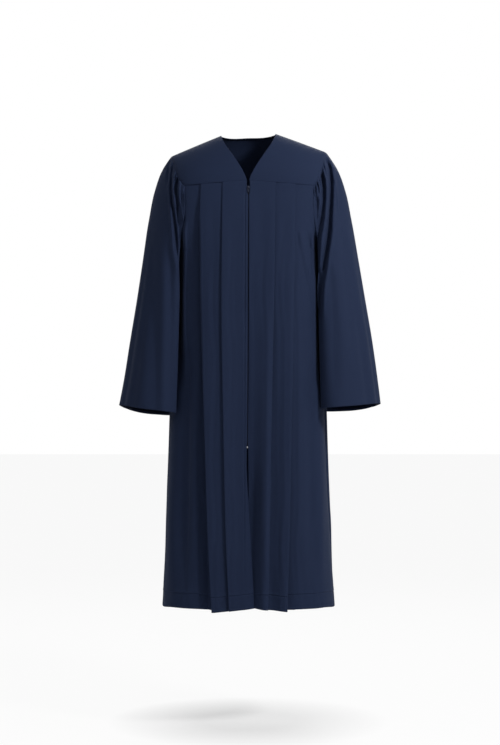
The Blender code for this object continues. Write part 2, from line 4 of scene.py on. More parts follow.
import bmesh
import bpy
import numpy as np
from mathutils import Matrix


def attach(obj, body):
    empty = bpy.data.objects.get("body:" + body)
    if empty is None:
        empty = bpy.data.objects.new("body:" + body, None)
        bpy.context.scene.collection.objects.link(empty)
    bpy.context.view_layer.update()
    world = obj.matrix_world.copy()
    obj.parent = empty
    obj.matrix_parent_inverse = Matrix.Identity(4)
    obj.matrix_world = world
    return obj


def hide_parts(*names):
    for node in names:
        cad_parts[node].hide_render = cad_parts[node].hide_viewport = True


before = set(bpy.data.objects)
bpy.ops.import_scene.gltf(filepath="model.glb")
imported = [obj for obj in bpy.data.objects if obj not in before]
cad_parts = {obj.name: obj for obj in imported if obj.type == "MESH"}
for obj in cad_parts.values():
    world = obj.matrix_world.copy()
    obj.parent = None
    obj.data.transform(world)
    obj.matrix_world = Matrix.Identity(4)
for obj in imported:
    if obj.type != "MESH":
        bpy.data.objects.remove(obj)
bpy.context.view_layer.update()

# The wearer's right is -X and the robe faces -Y. Lengths are in metres, but for the tables below,
# which are in millimetres.
MM = 0.001

# ---------------- forms
# The body, the yoke's arch and the sleeves have the CAD model's forms; the pleats' layers are thinner.
BODY_POWER = 3.0  # of the superellipse that a level section of the body form is
YOKE_POWER = 1.9  # of the arch over the shoulders
YOKE_SEAM = -0.1235
YOKE_SEAM_DROP = 0.0105  # the front yoke seam's fall from the middle to YOKE_SEAM_REACH
YOKE_SEAM_REACH = 0.153
BACK_SEAM = -0.1450
BACK_CORNER_X = 0.1560
RIDGE_Y = 0.006  # the shoulders' line
CREST = 0.025  # the ridge is rounded over this width
NECK_X = 0.066
NECK_BACK = 0.050
UNDERARM = -0.2900
HEM = -1.1370
HEM_RISE = 0.0095  # the fronts' hem is this much higher at HEM_RISE_X
HEM_RISE_X = 0.0145
HEM_RISE_WIDTH = 0.0950  # and runs down to HEM over this width
HEM_LIFT = 0.0062  # the side widths end this much higher than the pleats before them
LAYER_TOP = 0.0007  # from one layer of a pressed pleat to the next, at the yoke
LAYER_LOW = 0.0010  # the same where the pleats hang loose
PLEAT_RETURN = 0.028  # how far a pleat's hidden layers reach back from its edge
PLEAT_END = 0.010  # how far beyond its edge the cloth of a closed pleat comes to rest
PLEAT_SLACK = 1.1  # how much further that of an open one does, as a share of its opening
PLEAT_RISE = 0.2  # share of a pleat's opening that its third layer rises again
PLEAT_TAILS = {"left_inner": 0.45}  # share of a pleat's depth that is left beyond it
PLEAT_TAIL = 0.7  # the same for the other pleats
SLEEVE_POWER = 2.4
SLEEVE_SLANT = 0.30  # the front and back of a sleeve lie this much closer together at its outer side
BODY_GAP = 0.0004  # between sleeve and body at the armhole
BODY_CLEARANCE = 0.0050  # the same further down
CAP_BLEND = 0.34  # share of the sleeve in which the armhole's shape fades out
CAP_OUT = 0.0003  # how far a sleeve's top stands off the armhole
# x that the sleeves are moved clear of the body from, at these heights
CLEAR_FROM = ((-0.65, -0.45, -0.33, -0.24, -0.10), (0.105, 0.118, 0.134, 0.142, 0.110))
ZIP_HINGE = -0.1420
ZIP_STOP = -0.7500
TAB_OUT = 0.0022  # the pull tab's hinge stands this far out
COIL_TOP = -0.1430
COIL_PITCH = 0.0015
COIL_HALF_WIDTH = 0.0020
COIL_HALF_THICK = 0.0009
COIL_DEPTH = 0.0026
WIRE_HALF_THICK = 0.00042  # of the bail and the pull tab
BAIL_HALF_WIDTH = 0.0008
BAIL_OUT = 0.0037
BAIL_UP = 0.0034
BAIL_RADIUS = 0.0033

# ---------------- the shown cloth
CLOTH = 0.0005
TURNED = 0.0005  # half the distance between a piece's face and what is turned under at its edge
HEM_DEPTH = 0.034
CUFF_DEPTH = 0.010
EDGE_DEPTH = 0.012
YOKE_TURN = 0.006  # cloth turned under along the yokes' seams
NECK_TURN = 0.007
NECK_STITCH = 0.006
ALLOWANCE = 0.006  # cloth inside the seams
PANEL_TUCKS = ((0.0014, 0.0010), (0.0030, ALLOWANCE))  # how far in and up a panel's two rows of it go
SEAM_DIP = 0.0004  # how far a panel's edges dip into its seams
CAP_DIP = 0.0008  # the same for a sleeve
YOKE_DIP = 0.0007  # the same for a front yoke at the armhole
SHOULDER_DIP = 0.0003  # and at the shoulder
UNDER_YOKE = np.array([-0.0024, 0.0, 0.0008])  # where a sleeve's allowance goes first
ARMHOLE_MIDDLE = np.array([0.020, 0.0, -0.220])  # and what it points to then
STITCH_LENGTH = 0.0026
STITCH_THREAD = 0.00035
STITCH_TROUGH = 0.0011
FAR = 1.0  # distance from a row of stitches that a piece doesn't have
MOST_COLUMNS = 400  # more than any panel has

# x direction, x of the front yoke's corner and of the shoulder point, height of the neck point,
# fall of the shoulder, centre line to front edge at the neck, and the cuff's heights at its outer,
# front, inner and back side.
Side = namedtuple("Side", "sign corner shoulder neck_height fall edge cuff")
SIDES = {
    "right": Side(-1, 0.1510, 0.1860, -0.0045, 0.425, 0.0048, (-0.6560, -0.6630, -0.6770, -0.6810)),
    "left": Side(1, 0.1552, 0.1875, 0.0000, 0.372, 0.0029, (-0.6525, -0.6550, -0.6660, -0.6730)),
}


# ---------------- tables and curves
def table_of(columns, *rows):
    """A table of millimetres as a dictionary of columns in metres, with its heights rising."""
    return dict(zip(columns.split(), np.array(sorted(rows), float).T * MM, strict=True))


BODY = table_of(
    "z half_width front back",
    (-40, 204, 116, 106),
    (-130, 196, 124.5, 116),
    (-200, 186, 133.5, 124),
    (-290, 176, 143, 130),
    (-450, 176, 149, 135),
    (-650, 183, 155, 145),
    (-850, 190.5, 162, 156),
    (-1000, 199.5, 169, 166),
    (-1140, 208.5, 176, 176),
)
PLEAT_COLUMNS = "z right_inner right_outer left_inner left_outer back_inner back_outer"
PLEATS = table_of(
    PLEAT_COLUMNS,
    (-115, 61, 112, 64, 111, 36, 88),
    (-210, 62, 115, 63, 110, 37, 90),
    (-450, 63, 113, 59.6, 107, 39, 94),
    (-700, 58.6, 104, 54.2, 102, 41, 98),
    (-950, 53, 95.5, 50, 97, 44, 104),
    (-1136, 44.5, 86.2, 46, 91.5, 46, 109),
)
OPEN = table_of(  # how far each pleat stands open behind its edge
    PLEAT_COLUMNS,
    (-115, 0.8, 1.2, 0, 0, 0, 0),
    (-210, 2.4, 5.2, 1, 1.6, 1, 1.5),
    (-450, 4.2, 11, 5, 6, 5, 7),
    (-700, 5.2, 18, 8, 9.5, 10, 12),
    (-950, 6, 24, 11, 12.5, 15, 18),
    (-1136, 6.6, 26, 13, 14.5, 19, 21),
)
# how far the edge of a pleat rolls in, as a share of ROLL_DEPTHS (heights, depths) at its height
ROLLS = dict(zip(PLEAT_COLUMNS.split()[1:], (0.0, 1.0, 0.8, 0.6, 0.5, 0.5), strict=True))
ROLL_DEPTHS = ((-0.99, -0.48, -0.30, -0.15), (0.0034, 0.0040, 0.0014, 0.0))
ROLL_WIDTH = 0.024
EDGES = table_of(
    "z right left right_depth left_depth",
    (-110, -4.8, 3.8, 0, 0),
    (-149, -4, 4.2, 0, 0),
    (-160, -0.8, 2, 0.5, 0.5),
    (-300, -1.2, 1.6, 4, 3),
    (-450, -1.6, 1.2, 8, 7),
    (-735, -3.7, -0.9, 12, 12),
    (-757, -4.6, 0, 12, 12),
    (-800, -4.8, 0.6, 11.5, 16),
    (-860, -1.8, 1.4, 10.5, 19),
    (-905, 1, -2, 10, 21.2),
    (-950, 3.7, -6, 9.5, 22),
    (-1050, 9.6, -8, 8.5, 22.5),
    (-1136, 14.7, -9.5, 7.5, 22.5),
)
SLEEVE = table_of(
    "z right_outer left_outer inner front back",
    (-45, 184, 189, 150, 54, 58),
    (-86, 211, 216, 144, 74, 79),
    (-140, 229.4, 235.5, 142, 85, 92),
    (-205, 240.5, 248.5, 143, 90, 100),
    (-300, 254, 265, 145, 95, 110),
    (-400, 269, 282, 149, 101, 121),
    (-500, 285.5, 299, 153, 108, 133),
    (-600, 301.5, 313, 156, 116, 145),
    (-690, 319, 324, 158, 124, 156),
)

# Each crease: depth, width towards lower x, width towards higher x, then (x, z) down its line.
# A negative depth is a ridge.
FRONT_CREASES = (
    # the sharp edges of the drape from the left armhole, and the hollow between them
    (-2.2, 3.6, 15, (122.5, -245), (126, -270), (148, -366), (160, -450)),
    (-1.4, 2.6, 8, (144, -240), (145.6, -257), (159.8, -309), (166, -350)),
    # the groove of the stitching beside the zip
    (1.5, 1.8, 1, (-7.6, -120), (-7.8, -300), (-8.4, -600), (-9, -960), (-9.2, -1220)),
    # the hollow behind the right outer pleat, which starts at a kink
    (5, 14, 4, (-122.5, -195), (-120, -225), (-119, -400), (-112, -710), (-104.5, -950), (-80, -1700)),
    # the left inner width, turned away from the zip
    (4, 9, 11, (15, -800), (15, -950), (14, -1700)),
    (-2.4, 15, 11, (43, -420), (42, -700), (37, -1600)),
    (-2.6, 15, 11, (43, -600), (42, -800), (37, -1700)),
    # the rounded edge of the left front beside the zip
    (-1.6, 1.4, 15, (2.4, -120), (2.4, -300), (2, -800)),
    # long shallow waves in the flat widths
    (1.2, 11, 11, (-85, -170), (-86, -600), (-72, -1050)),
    (1, 13, 13, (-32, -200), (-34, -600), (-26, -1100)),
    (1, 12, 12, (36, -180), (34, -600), (30, -1100)),
    (1.2, 11, 11, (88, -180), (82, -600), (72, -1080)),
    # folds at the sides, towards the hem
    (8, 14, 14, (-150, -500), (-160, -800), (-166, -1150)),
    (-6, 12, 12, (-172, -600), (-182, -900), (-190, -1150)),
    (3, 13, 13, (152, -560), (156, -820), (156, -1150)),
    (-5, 12, 12, (166, -600), (172, -900), (178, -1150)),
)
BACK_CREASES = (
    (5, 12, 12, (-128, -180), (-140, -330), (-150, -560)),
    (5, 12, 12, (130, -190), (142, -350), (150, -540)),
    (2.6, 13, 13, (-64, -200), (-68, -650), (-74, -1120)),
    (2.6, 13, 13, (62, -180), (66, -650), (76, -1120)),
    (2, 12, 12, (4, -180), (-4, -700), (6, -1120)),
    (9, 15, 15, (-152, -480), (-158, -850), (-160, -1150)),
    (9, 15, 15, (150, -520), (160, -850), (164, -1150)),
    (-6, 14, 14, (-176, -560), (-184, -850), (-192, -1150)),
    (-6, 14, 14, (176, -560), (184, -850), (192, -1150)),
)
SLEEVE_CREASES = {
    "right": (
        # the deep fold that runs into the gap beside the body, and the long one outside it
        (15, 4.4, 3.4, (-165, -108), (-170, -128), (-171, -146.2), (-168, -175), (-163, -205),
         (-157.5, -235), (-157, -280)),
        (10, 3.4, 2.8, (-177.8, -72), (-181.2, -85), (-183, -104), (-183, -140.7), (-180.1, -178),
         (-175.5, -220.3), (-171.5, -260), (-166, -340)),
        (7, 6, 6, (-160, -150), (-159, -190), (-157, -235), (-156, -320)),
        (11, 7, 7, (-171, -180), (-170, -205), (-168, -240), (-167, -330)),
        # where the sleeve turns away beside the body
        (3.6, 11, 9, (-185, -290), (-184, -340), (-183, -400), (-182, -780)),
        (-6.2, 11, 7, (-166.5, -262), (-166.5, -300), (-165.5, -400), (-165, -780)),
        # short gathers from the seam
        (7, 4, 3, (-185, -58), (-189.4, -74.7), (-191, -101.1), (-191.5, -135)),
        (6, 1.8, 1.8, (-173.8, -80), (-177.7, -94.4), (-179.3, -109)),
        (6, 1.8, 1.8, (-167.5, -96), (-174.2, -111.1), (-176.3, -133)),
        (4, 1.6, 1.6, (-161.5, -110), (-165.8, -124), (-166.2, -142)),
        # a long soft hollow
        (6, 20, 19, (-230, -200), (-231, -280), (-229, -360), (-225, -450), (-219, -560), (-215, -950)),
    ),
    "left": (
        # the valley beside the body, then the long sharp fold
        (11, 6, 6, (161, -160), (161, -205), (160, -240), (158, -340)),
        (15, 6, 4.6, (170.5, -90), (176.2, -114.2), (179, -140.7), (179, -167.4), (175, -206.4),
         (168, -245), (162, -290)),
        (17, 6, 4.8, (185, -56), (194.5, -86), (197.5, -122.3), (196.3, -154), (193.5, -204.1),
         (191.5, -240), (188, -268), (182, -305), (174, -370), (167, -450)),
        (9, 5, 5, (168, -330), (169, -365), (169, -400), (168, -470)),
        # short gathers from the seam
        (6, 2, 2, (176.5, -73), (182.6, -93), (186.6, -120)),
        (5.5, 1.8, 1.8, (163, -107), (169.3, -125), (172.2, -145)),
        (5.5, 1.8, 1.8, (160, -119), (166.4, -140), (166.4, -164)),
        (4, 1.6, 1.6, (156, -127), (159.2, -144), (159.4, -160)),
        (-2, 2, 3.4, (208, -115), (210.8, -143), (213.3, -170), (214, -205)),
        # long soft hollows
        (4.4, 12, 14, (220, -170), (228, -320), (250, -560)),
        (3.6, 13, 13, (196, -330), (202, -500), (205, -670)),
    ),
}
SLEEVE_BACK_CREASES = (
    (13, 5, 4.6, (166, -100), (171, -125), (171, -160), (165, -215), (159, -300)),
    (10, 5, 3.2, (179, -72), (185, -110), (184, -180), (177, -260), (170, -330)),
    (6, 3, 3, (187, -58), (194, -85), (196, -130)),
    (5, 2, 2, (172.5, -84), (177, -103), (178, -124)),
    (5, 2, 2, (162, -108), (167, -126), (168, -150)),
    (5, 13, 13, (208, -160), (218, -320), (240, -600)),
    (4, 13, 13, (188, -260), (195, -450), (205, -680)),
)
# where the fronts and the back turn in sharply beside the sleeves
SIDE_HOLLOWS = {
    "front": (
        (24, 17, 5, (-160, -210), (-161.5, -240), (-162.5, -290), (-167.5, -400), (-170, -620)),
        (24, 5, 17, (161, -235), (162, -260), (165, -310), (170, -400), (170.5, -620)),
    ),
    "back": (
        (20, 17, 6, (-164, -220), (-168, -300), (-170, -400), (-172, -600)),
        (20, 6, 17, (164, -220), (168, -300), (170, -400), (172, -600)),
    ),
}


def read(table, key, z):
    """A column of a table at any height: cubic pieces whose slopes are those of the neighbouring rows."""
    x, y = table["z"], table[key]
    slopes = np.gradient(y, x)
    z = np.clip(z, x[0], x[-1])
    i = np.clip(np.searchsorted(x, z) - 1, 0, len(x) - 2)
    step = x[i + 1] - x[i]
    t = (z - x[i]) / step
    rise = t * t * (3 - 2 * t)
    bend = step * t * (1 - t) * (slopes[i] * (1 - t) - slopes[i + 1] * t)
    return y[i] * (1 - rise) + y[i + 1] * rise + bend


def straight(table, key, z):
    """A column of a table at any height, on straight pieces."""
    return np.interp(z, table["z"], table[key])


def ease(low, high, value):
    """0 below low, 1 above high, t * t * (3 - 2t) between them."""
    t = np.clip((value - low) / (high - low), 0.0, 1.0)
    return t * t * (3 - 2 * t)


def crease_depth(creases, x, z):
    """Sum over the creases of depth * taper(share of its height) * profile(d).

    d is the distance in x to the crease's line over its width on that side. The profile is a
    bell in the middle less 0.3 of a wider bell on each bank.
    """
    total = np.zeros(np.broadcast(x, z).shape)
    for depth, low_width, high_width, *line in creases:
        places, heights = np.array(line).T * MM
        middle = np.interp(z, heights[::-1], places[::-1])
        share = (heights[0] - z) / (heights[0] - heights[-1])
        taper = ease(-0.04, 0.08, share) * (1 - ease(0.6, 1.0, share))
        away = x - middle
        across = np.abs(away) / (MM * np.where(away < 0, low_width, high_width))
        profile = np.exp(-(across**1.7)) - 0.3 * np.exp(-(((across - 1.9) / 0.9) ** 2))
        total += depth * MM * taper * profile
    return total


def ripple(seed, value, wavelength):
    """A wave from -1 to 1 whose length wanders: three sines of nearby lengths, out of step by the seed."""
    a = 2 * math.pi * value / wavelength
    waves = np.sin(a + seed) + 0.7 * np.sin(0.61 * a + 2.3 * seed) + 0.5 * np.sin(1.47 * a + 4.1 * seed)
    return waves / 2.2


def signed_power(value, power):
    """A power of a number's size, with the number's sign."""
    return np.sign(value) * np.abs(value) ** power


def steps_in(runs, last=None):
    """Even steps in each run of (low, high, count), one after the other; last, if given, is in them too."""
    return np.concatenate([np.linspace(low, high, count, endpoint=high == last) for low, high, count in runs])


def lengths_along(points):
    """Distance of each point from the first, along the line through them."""
    return np.concatenate([[0.0], np.cumsum(np.linalg.norm(np.diff(points, axis=0), axis=1))])


# ---------------- body form
def turn_at(x, z):
    """Share of a quarter turn, from the centre line (0) to the side (1), where a body section is x wide."""
    share = np.clip(x / read(BODY, "half_width", z), -1.0, 1.0)
    return np.sign(share) * np.arcsin(np.abs(share) ** (BODY_POWER / 2)) * 2 / math.pi


def body_point(turn, z, depth=0.0, half="front"):
    """Point of the body form: x = w sin(a)^(2/p), y = d cos(a)^(2/p), moved in along the normal by depth."""
    turn, z, depth = np.broadcast_arrays(turn, z, depth)
    wide = read(BODY, "half_width", z)
    deep = read(BODY, half, z)
    angle = np.minimum(np.abs(turn), 1.0) * math.pi / 2
    across = wide * np.maximum(np.sin(angle), 1e-9) ** (2 / BODY_POWER)
    along = deep * np.maximum(np.cos(angle), 1e-9) ** (2 / BODY_POWER)
    normal_x = (across / wide) ** (BODY_POWER - 1) / wide
    normal_y = (along / deep) ** (BODY_POWER - 1) / deep
    size = np.hypot(normal_x, normal_y)
    x = np.sign(turn) * (across - depth * normal_x / size)
    y = along - depth * normal_y / size
    return np.stack([x, -y if half == "front" else y, z], axis=-1)


def moved_round(x, z, distance):
    """x of the place a distance further round the body form: dx = distance * cos(slope), taken half way."""

    def flatness(x):
        wide, deep = read(BODY, "half_width", z), read(BODY, "front", z)
        across = np.clip(np.abs(x) / wide, 1e-6, 0.98)
        rise = (1 - across**BODY_POWER) ** (1 / BODY_POWER)
        return 1 / np.hypot(1.0, deep / wide * (across / rise) ** (BODY_POWER - 1))

    return x + distance * flatness(x + 0.5 * distance * flatness(x))


def side_turn(z, corner_turn, corner_z):
    """A panel's side edge: a quarter ellipse from the yoke's corner to the underarm, then the side seam."""
    drop = np.clip((corner_z - z) / (corner_z - UNDERARM), 0.0, 1.0)
    return corner_turn + (1.0 - corner_turn) * (1 - np.sqrt(1 - drop**2))


def layer_at(z):
    """From one layer of a pleat to the next: pressed flat at the yoke, looser below."""
    return LAYER_TOP + (LAYER_LOW - LAYER_TOP) * ease(0.0, 0.10, YOKE_SEAM - z)


# ---------------- the arch of the yoke
def front_seam(x):
    """Height of the front yoke seam."""
    return YOKE_SEAM - YOKE_SEAM_DROP * np.abs(x) / YOKE_SEAM_REACH


def ridge_height(x):
    """Height of the arch over the shoulders: it falls away from the neck points, more on the right."""
    left = ease(-0.05, 0.05, x)
    neck = SIDES["right"].neck_height * (1 - left) + SIDES["left"].neck_height * left
    fall = SIDES["right"].fall * (1 - left) + SIDES["left"].fall * left
    return neck - fall * (np.hypot(x, CREST) - math.hypot(NECK_X, CREST))


def rise_of(v):
    """Height share of a place on the arch."""
    return np.maximum(np.sin(v * math.pi / 2), 0.0) ** (2 / YOKE_POWER)


def yoke_point(x, v, half="front"):
    """Point of the arch: v is 0 at the seam and 1 on the shoulder; its legs are quarter superellipses."""
    foot = front_seam(x) if half == "front" else np.full_like(x, BACK_SEAM)
    base = body_point(turn_at(x, foot), foot, 0.0, half)[..., 1]
    reach = np.maximum(np.cos(v * math.pi / 2), 1e-9) ** (2 / YOKE_POWER)
    y = RIDGE_Y + (base - RIDGE_Y) * reach
    z = foot + (ridge_height(x) - foot) * rise_of(v)
    return np.stack([x, y, z], axis=-1)


def yoke_side(side, v, half):
    """Distance of the yoke's armhole edge from the centre line."""
    corner = SIDES[side].corner if half == "front" else BACK_CORNER_X
    return corner + (SIDES[side].shoulder - corner) * rise_of(v) ** 0.6


def front_neck(side, v):
    """Distance of the V neckline from the centre line."""
    low = SIDES[side].edge
    return low + (NECK_X - low) * (1 - (1 - rise_of(v) ** 1.35) ** 1.65)


# ---------------- grids
def normals_of(grid, closed=False):
    """Unit normals of a grid from its differences along both ways."""
    down = np.gradient(grid, axis=0)
    if closed:
        wide = np.concatenate([grid[:, -1:], grid, grid[:, :1]], axis=1)
        across = (wide[:, 2:] - wide[:, :-2]) / 2
    else:
        across = np.gradient(grid, axis=1)
    normal = np.cross(across, down)
    return normal / np.maximum(np.linalg.norm(normal, axis=-1, keepdims=True), 1e-12)


def into_tube(grid):
    """Unit normals of a closed grid that point to its middle."""
    inward = -normals_of(grid, closed=True)
    return inward * np.sign(np.sum(inward * (grid.mean(axis=1, keepdims=True) - grid), axis=-1).mean())


def across_from_edge(grid):
    """Distance of each point from the first column, along its row."""
    return np.cumsum(np.linalg.norm(np.diff(grid, axis=1, prepend=grid[:, :1]), axis=-1), axis=1)


def turned_under(grid, inward, reach, step):
    """The grid with its end folded back: half a circle of radius TURNED, then rows again, 2 * TURNED in.

    inward holds the unit vectors into the robe, and is lengthened in the same way; every step-th
    row within reach of the edge is repeated.
    """
    edge, last = grid[-1], inward[-1]
    down = edge - grid[-2]
    down = down / np.maximum(np.linalg.norm(down, axis=-1, keepdims=True), 1e-12)
    angles = np.radians((36.0, 72.0, 108.0, 144.0, 180.0))
    rows = [edge + last * TURNED * (1 - math.cos(a)) + down * TURNED * math.sin(a) for a in angles]
    lengths = np.cumsum(np.linalg.norm(np.diff(grid[::-1], axis=0), axis=-1).mean(axis=1))
    count = int(np.searchsorted(lengths, reach))
    picked = [len(grid) - 2 - k for k in range(step - 1, count, step)]
    rows += [grid[k] + inward[k] * 2 * TURNED for k in picked]
    ways = [last] * len(angles) + [inward[k] for k in picked]
    return np.concatenate([grid, np.stack(rows)], axis=0), np.concatenate([inward, np.stack(ways)], axis=0)


def turned_edge(grid, inward, reach, step):
    """turned_under for the first column."""
    result = turned_under(np.swapaxes(grid, 0, 1)[::-1], np.swapaxes(inward, 0, 1)[::-1], reach, step)
    return tuple(np.swapaxes(part[::-1], 0, 1) for part in result)


def tucked_in(grid, first, second):
    """The grid with two rows of seam allowance before its first row, at these offsets from it."""
    return np.concatenate([(grid[0] + second)[None], (grid[0] + first)[None], grid], axis=0)


def padded(line, rows=(0, 0), columns=(0, 0)):
    """Distances from a row of stitches, with rows and columns added that are far from it."""
    return np.pad(line, (rows, columns), constant_values=FAR)


def joined(halves):
    """Two halves whose columns run out from the middle one, as one grid from the right to the left."""
    return np.concatenate([halves[0][:, :0:-1], halves[1]], axis=1)


def linked(name, data):
    """An object in the scene for a mesh, a light or a camera."""
    item = bpy.data.objects.new(name, data)
    bpy.context.scene.collection.objects.link(item)
    return item


def cloth_mesh(name, grid, closed=False, hem_line=None, edge_line=None):
    """Mesh of a grid with a map in metres of cloth, as an object with a wall half to either side of it.

    hem_line and edge_line are each point's distances from the row of stitches along the hem and
    along the front or neck edge.
    """
    rows, columns = grid.shape[:2]
    index = np.arange(rows * columns).reshape(rows, columns)
    along = lengths_along(grid[rows // 2])
    if closed:
        index = np.concatenate([index, index[:, :1]], axis=1)
        along = np.append(along, along[-1] * columns / (columns - 1))
    u, v = np.meshgrid(along, lengths_along(grid[:, columns // 3]))
    quads = [(slice(None, -1), slice(None, -1)), (slice(1, None), slice(None, -1))]
    quads += [(slice(1, None), slice(1, None)), (slice(None, -1), slice(1, None))]
    faces = np.stack([index[a, b] for a, b in quads], axis=-1).reshape(-1, 4)
    corners = np.stack([np.stack([u[a, b], v[a, b]], axis=-1) for a, b in quads], axis=-2).reshape(-1, 2)
    mesh = bpy.data.meshes.new(name)
    mesh.vertices.add(rows * columns)
    mesh.vertices.foreach_set("co", grid.reshape(-1).astype(np.float32))
    mesh.loops.add(faces.size)
    mesh.loops.foreach_set("vertex_index", faces.reshape(-1).astype(np.int32))
    mesh.polygons.add(len(faces))
    mesh.polygons.foreach_set("loop_start", np.arange(0, faces.size, 4, dtype=np.int32))
    mesh.polygons.foreach_set("use_smooth", np.ones(len(faces), dtype=bool))
    mesh.update(calc_edges=True)
    layer = mesh.uv_layers.new(name="cloth")
    layer.data.foreach_set("uv", corners.reshape(-1).astype(np.float32))
    for label, distance in (("hem_line", hem_line), ("edge_line", edge_line)):
        values = np.full((rows, columns), FAR) if distance is None else distance
        data = mesh.attributes.new(label, "FLOAT", "POINT").data
        data.foreach_set("value", values.reshape(-1).astype(np.float32))
    item = linked(name + "_cloth", mesh)
    wall = item.modifiers.new("wall", "SOLIDIFY")
    wall.thickness = CLOTH
    wall.offset = 0.0
    wall.use_even_offset = False
    return item


# ---------------- pleated panels
def pleat_run(opened, lean, far, layer, tail):
    """One knife pleat as columns of offsets from its edge and depths.

    In order: half a circle round the edge, the layer that returns under it, half a circle round
    the inner fold, the layer that comes out again, and its rise by the offset far, after which
    the share tail of its depth is left for the run to the next pleat. lean is the depth of what
    lies before the inner fold, and layer the distance between layers.
    """
    r = layer / 2
    back = np.sqrt(PLEAT_RETURN**2 - opened**2)
    none = 0.0 * opened
    offsets, depths = [], []
    for angle in np.radians(np.linspace(-90.0, 90.0, 9)):
        offsets.append(none + r * (math.cos(angle) - 1))
        depths.append(none + r * (1 + math.sin(angle)))
    for w in np.linspace(0.0, 1.0, 7)[1:]:
        offsets.append(-r * (1 - w) + (r - back) * w)
        depths.append(layer + (opened + lean) * w)
    for angle in np.radians(np.linspace(-90.0, 90.0, 7)[1:]):
        offsets.append(r - back - r * math.cos(angle))
        depths.append(layer + opened + lean + r * (1 + math.sin(angle)))
    deep = 2 * layer + opened
    rise = PLEAT_RISE * opened
    for w in np.linspace(0.0, 1.0, 6)[1:]:
        offsets.append((r - back) * (1 - w) - r * w)
        depths.append(deep + lean * (1 - w) - rise * w)
    for w in np.linspace(0.0, 1.0, 19)[1:]:
        offsets.append(-r + (far + r) * w)
        depths.append((deep - rise) * (1 - (1 - tail) * w))
    return offsets, depths


def stitched(away):
    """Depth beside a row of stitches: a groove along it, and the cloth puffed up where away is positive."""
    return 0.0008 * np.exp(-((away / 0.0013) ** 2)) - 0.0006 * np.exp(-(((away - 0.0030) / 0.0018) ** 2))


def rolled(share):
    """0 up to share 0, then share squared, with a last turn of its tenth power: 1 at share 1."""
    share = np.clip(share, 0.0, 1.0)
    return 0.8 * share**2 + 0.2 * share**10


def fall(name, shares):
    """How the depth of a flat width runs out towards the pleat's edge: 1 - s, but on the left front crowned.

    Before its inner pleat that is an S curve, before its outer one (1 - s) to the power 1.6.
    """
    if name == "left_inner":
        return 1 - ease(-0.02, 0.85, shares)
    return (1 - shares) ** (1.6 if name == "left_outer" else 1.0)


def panel(half, pleats, start, corner_x, seam, hem, creases, sign, counts, share, crowding=1.0):
    """Grid of a pleated panel: rows from its seam to its hem, columns from the centre line to its side edge.

    counts are the numbers of columns on the flat widths, and share the rows' places between seam
    and hem; crowding above 1 gathers the columns of the first width towards the centre. The depth
    of a point is that of its layer plus the creases and a fine wave at its place, and both ends
    dip into the seams. What lies where depends on each point's height and the height on where it
    lies, so both are worked out four times over.
    """
    share = share[:, None]
    corner_z = float(seam(np.array(corner_x)))
    corner_turn = float(turn_at(corner_x, corner_z))
    z = np.repeat(corner_z + (HEM - corner_z) * share, MOST_COLUMNS, axis=1)
    for _ in range(4):
        turns, depths, lifts, place = [], [], [], 0
        previous, previous_depth = start(z[:, :1])
        for k, name in enumerate(pleats):
            here = z[:, place : place + 1]
            opened = read(OPEN, name, here)
            edge, layer = read(PLEATS, name, here), layer_at(here)
            shares = np.linspace(0.0, 1.0, counts[k], endpoint=False)[min(k, 1) :]
            if k == 0:
                shares = shares**crowding
            width = edge - previous
            roll = ROLLS[name] * np.interp(here, *ROLL_DEPTHS)
            turns.append(turn_at(previous + (width - layer / 2) * shares, here))
            near_edge = rolled(1 - (1 - shares) * width / ROLL_WIDTH)
            depths.append(previous_depth * fall(name, shares) + roll * near_edge)
            place += len(shares)
            far = PLEAT_END + PLEAT_SLACK * opened
            lean = previous_depth * PLEAT_SLACK * PLEAT_RETURN / width
            offsets, deep = pleat_run(opened, lean, far, layer, PLEAT_TAILS.get(name, PLEAT_TAIL))
            places = [moved_round(edge, here, offset) for offset in offsets]
            turns += [turn_at(x, here) for x in places]
            depths += [part + roll for part in deep]
            place += len(offsets)
            previous, previous_depth = places[-1], depths[-1]
            lifts += [np.zeros(len(shares)), np.linspace(0.0, float(k), len(offsets))]
        shares = np.linspace(0.0, 1.0, counts[-1] + 1)[1:]
        lifts.append(1 - ease(0.45, 1.0, shares))
        side = side_turn(z[:, place : place + counts[-1]], corner_turn, corner_z)
        turns.append(turns[-1] + (side - turns[-1]) * shares)
        depths.append(previous_depth * (1 - shares))
        turn = np.concatenate(turns, axis=1)
        depth = np.concatenate(depths, axis=1)
        z = z[:, : turn.shape[1]]
        x = body_point(turn, z, 0.0 * turn, half)[..., 0]
        lift = HEM_LIFT * np.concatenate(lifts) if half == "front" else 0.0
        z = seam(x) + (hem(x) + lift - seam(x)) * share
    below = (seam(x) - z).clip(0.0, None)
    settled = ease(0.0, 0.06, below)
    form = body_point(turn, z, 0.0, half)
    edge_gap = np.linalg.norm(form - form[:, -1:], axis=-1)
    free = ease(0.0, 0.016, edge_gap)
    wander = x + 0.006 * ripple(2.0 + sign, z, 0.31)
    waves = 0.0005 * ripple(1.0 + sign, wander, 0.019) * ease(0.03, 0.30, below)
    waves = waves + 0.0009 * ripple(3.0 - sign, wander, 0.047) * ease(0.05, 0.60, below)
    depth = depth + (crease_depth(creases, sign * x, z) + waves) * settled * free
    depth = depth + stitched((1 - share) * (seam(x) - hem(x)) - HEM_DEPTH)
    depth = depth + SEAM_DIP * (2 - ease(0.0, 0.003, below) - ease(0.0, 0.004, edge_gap))
    points = body_point(turn, z, depth, half)
    hollow = crease_depth(SIDE_HOLLOWS[half], sign * x, z) * free
    points[..., 1] += hollow if half == "front" else -hollow
    return points


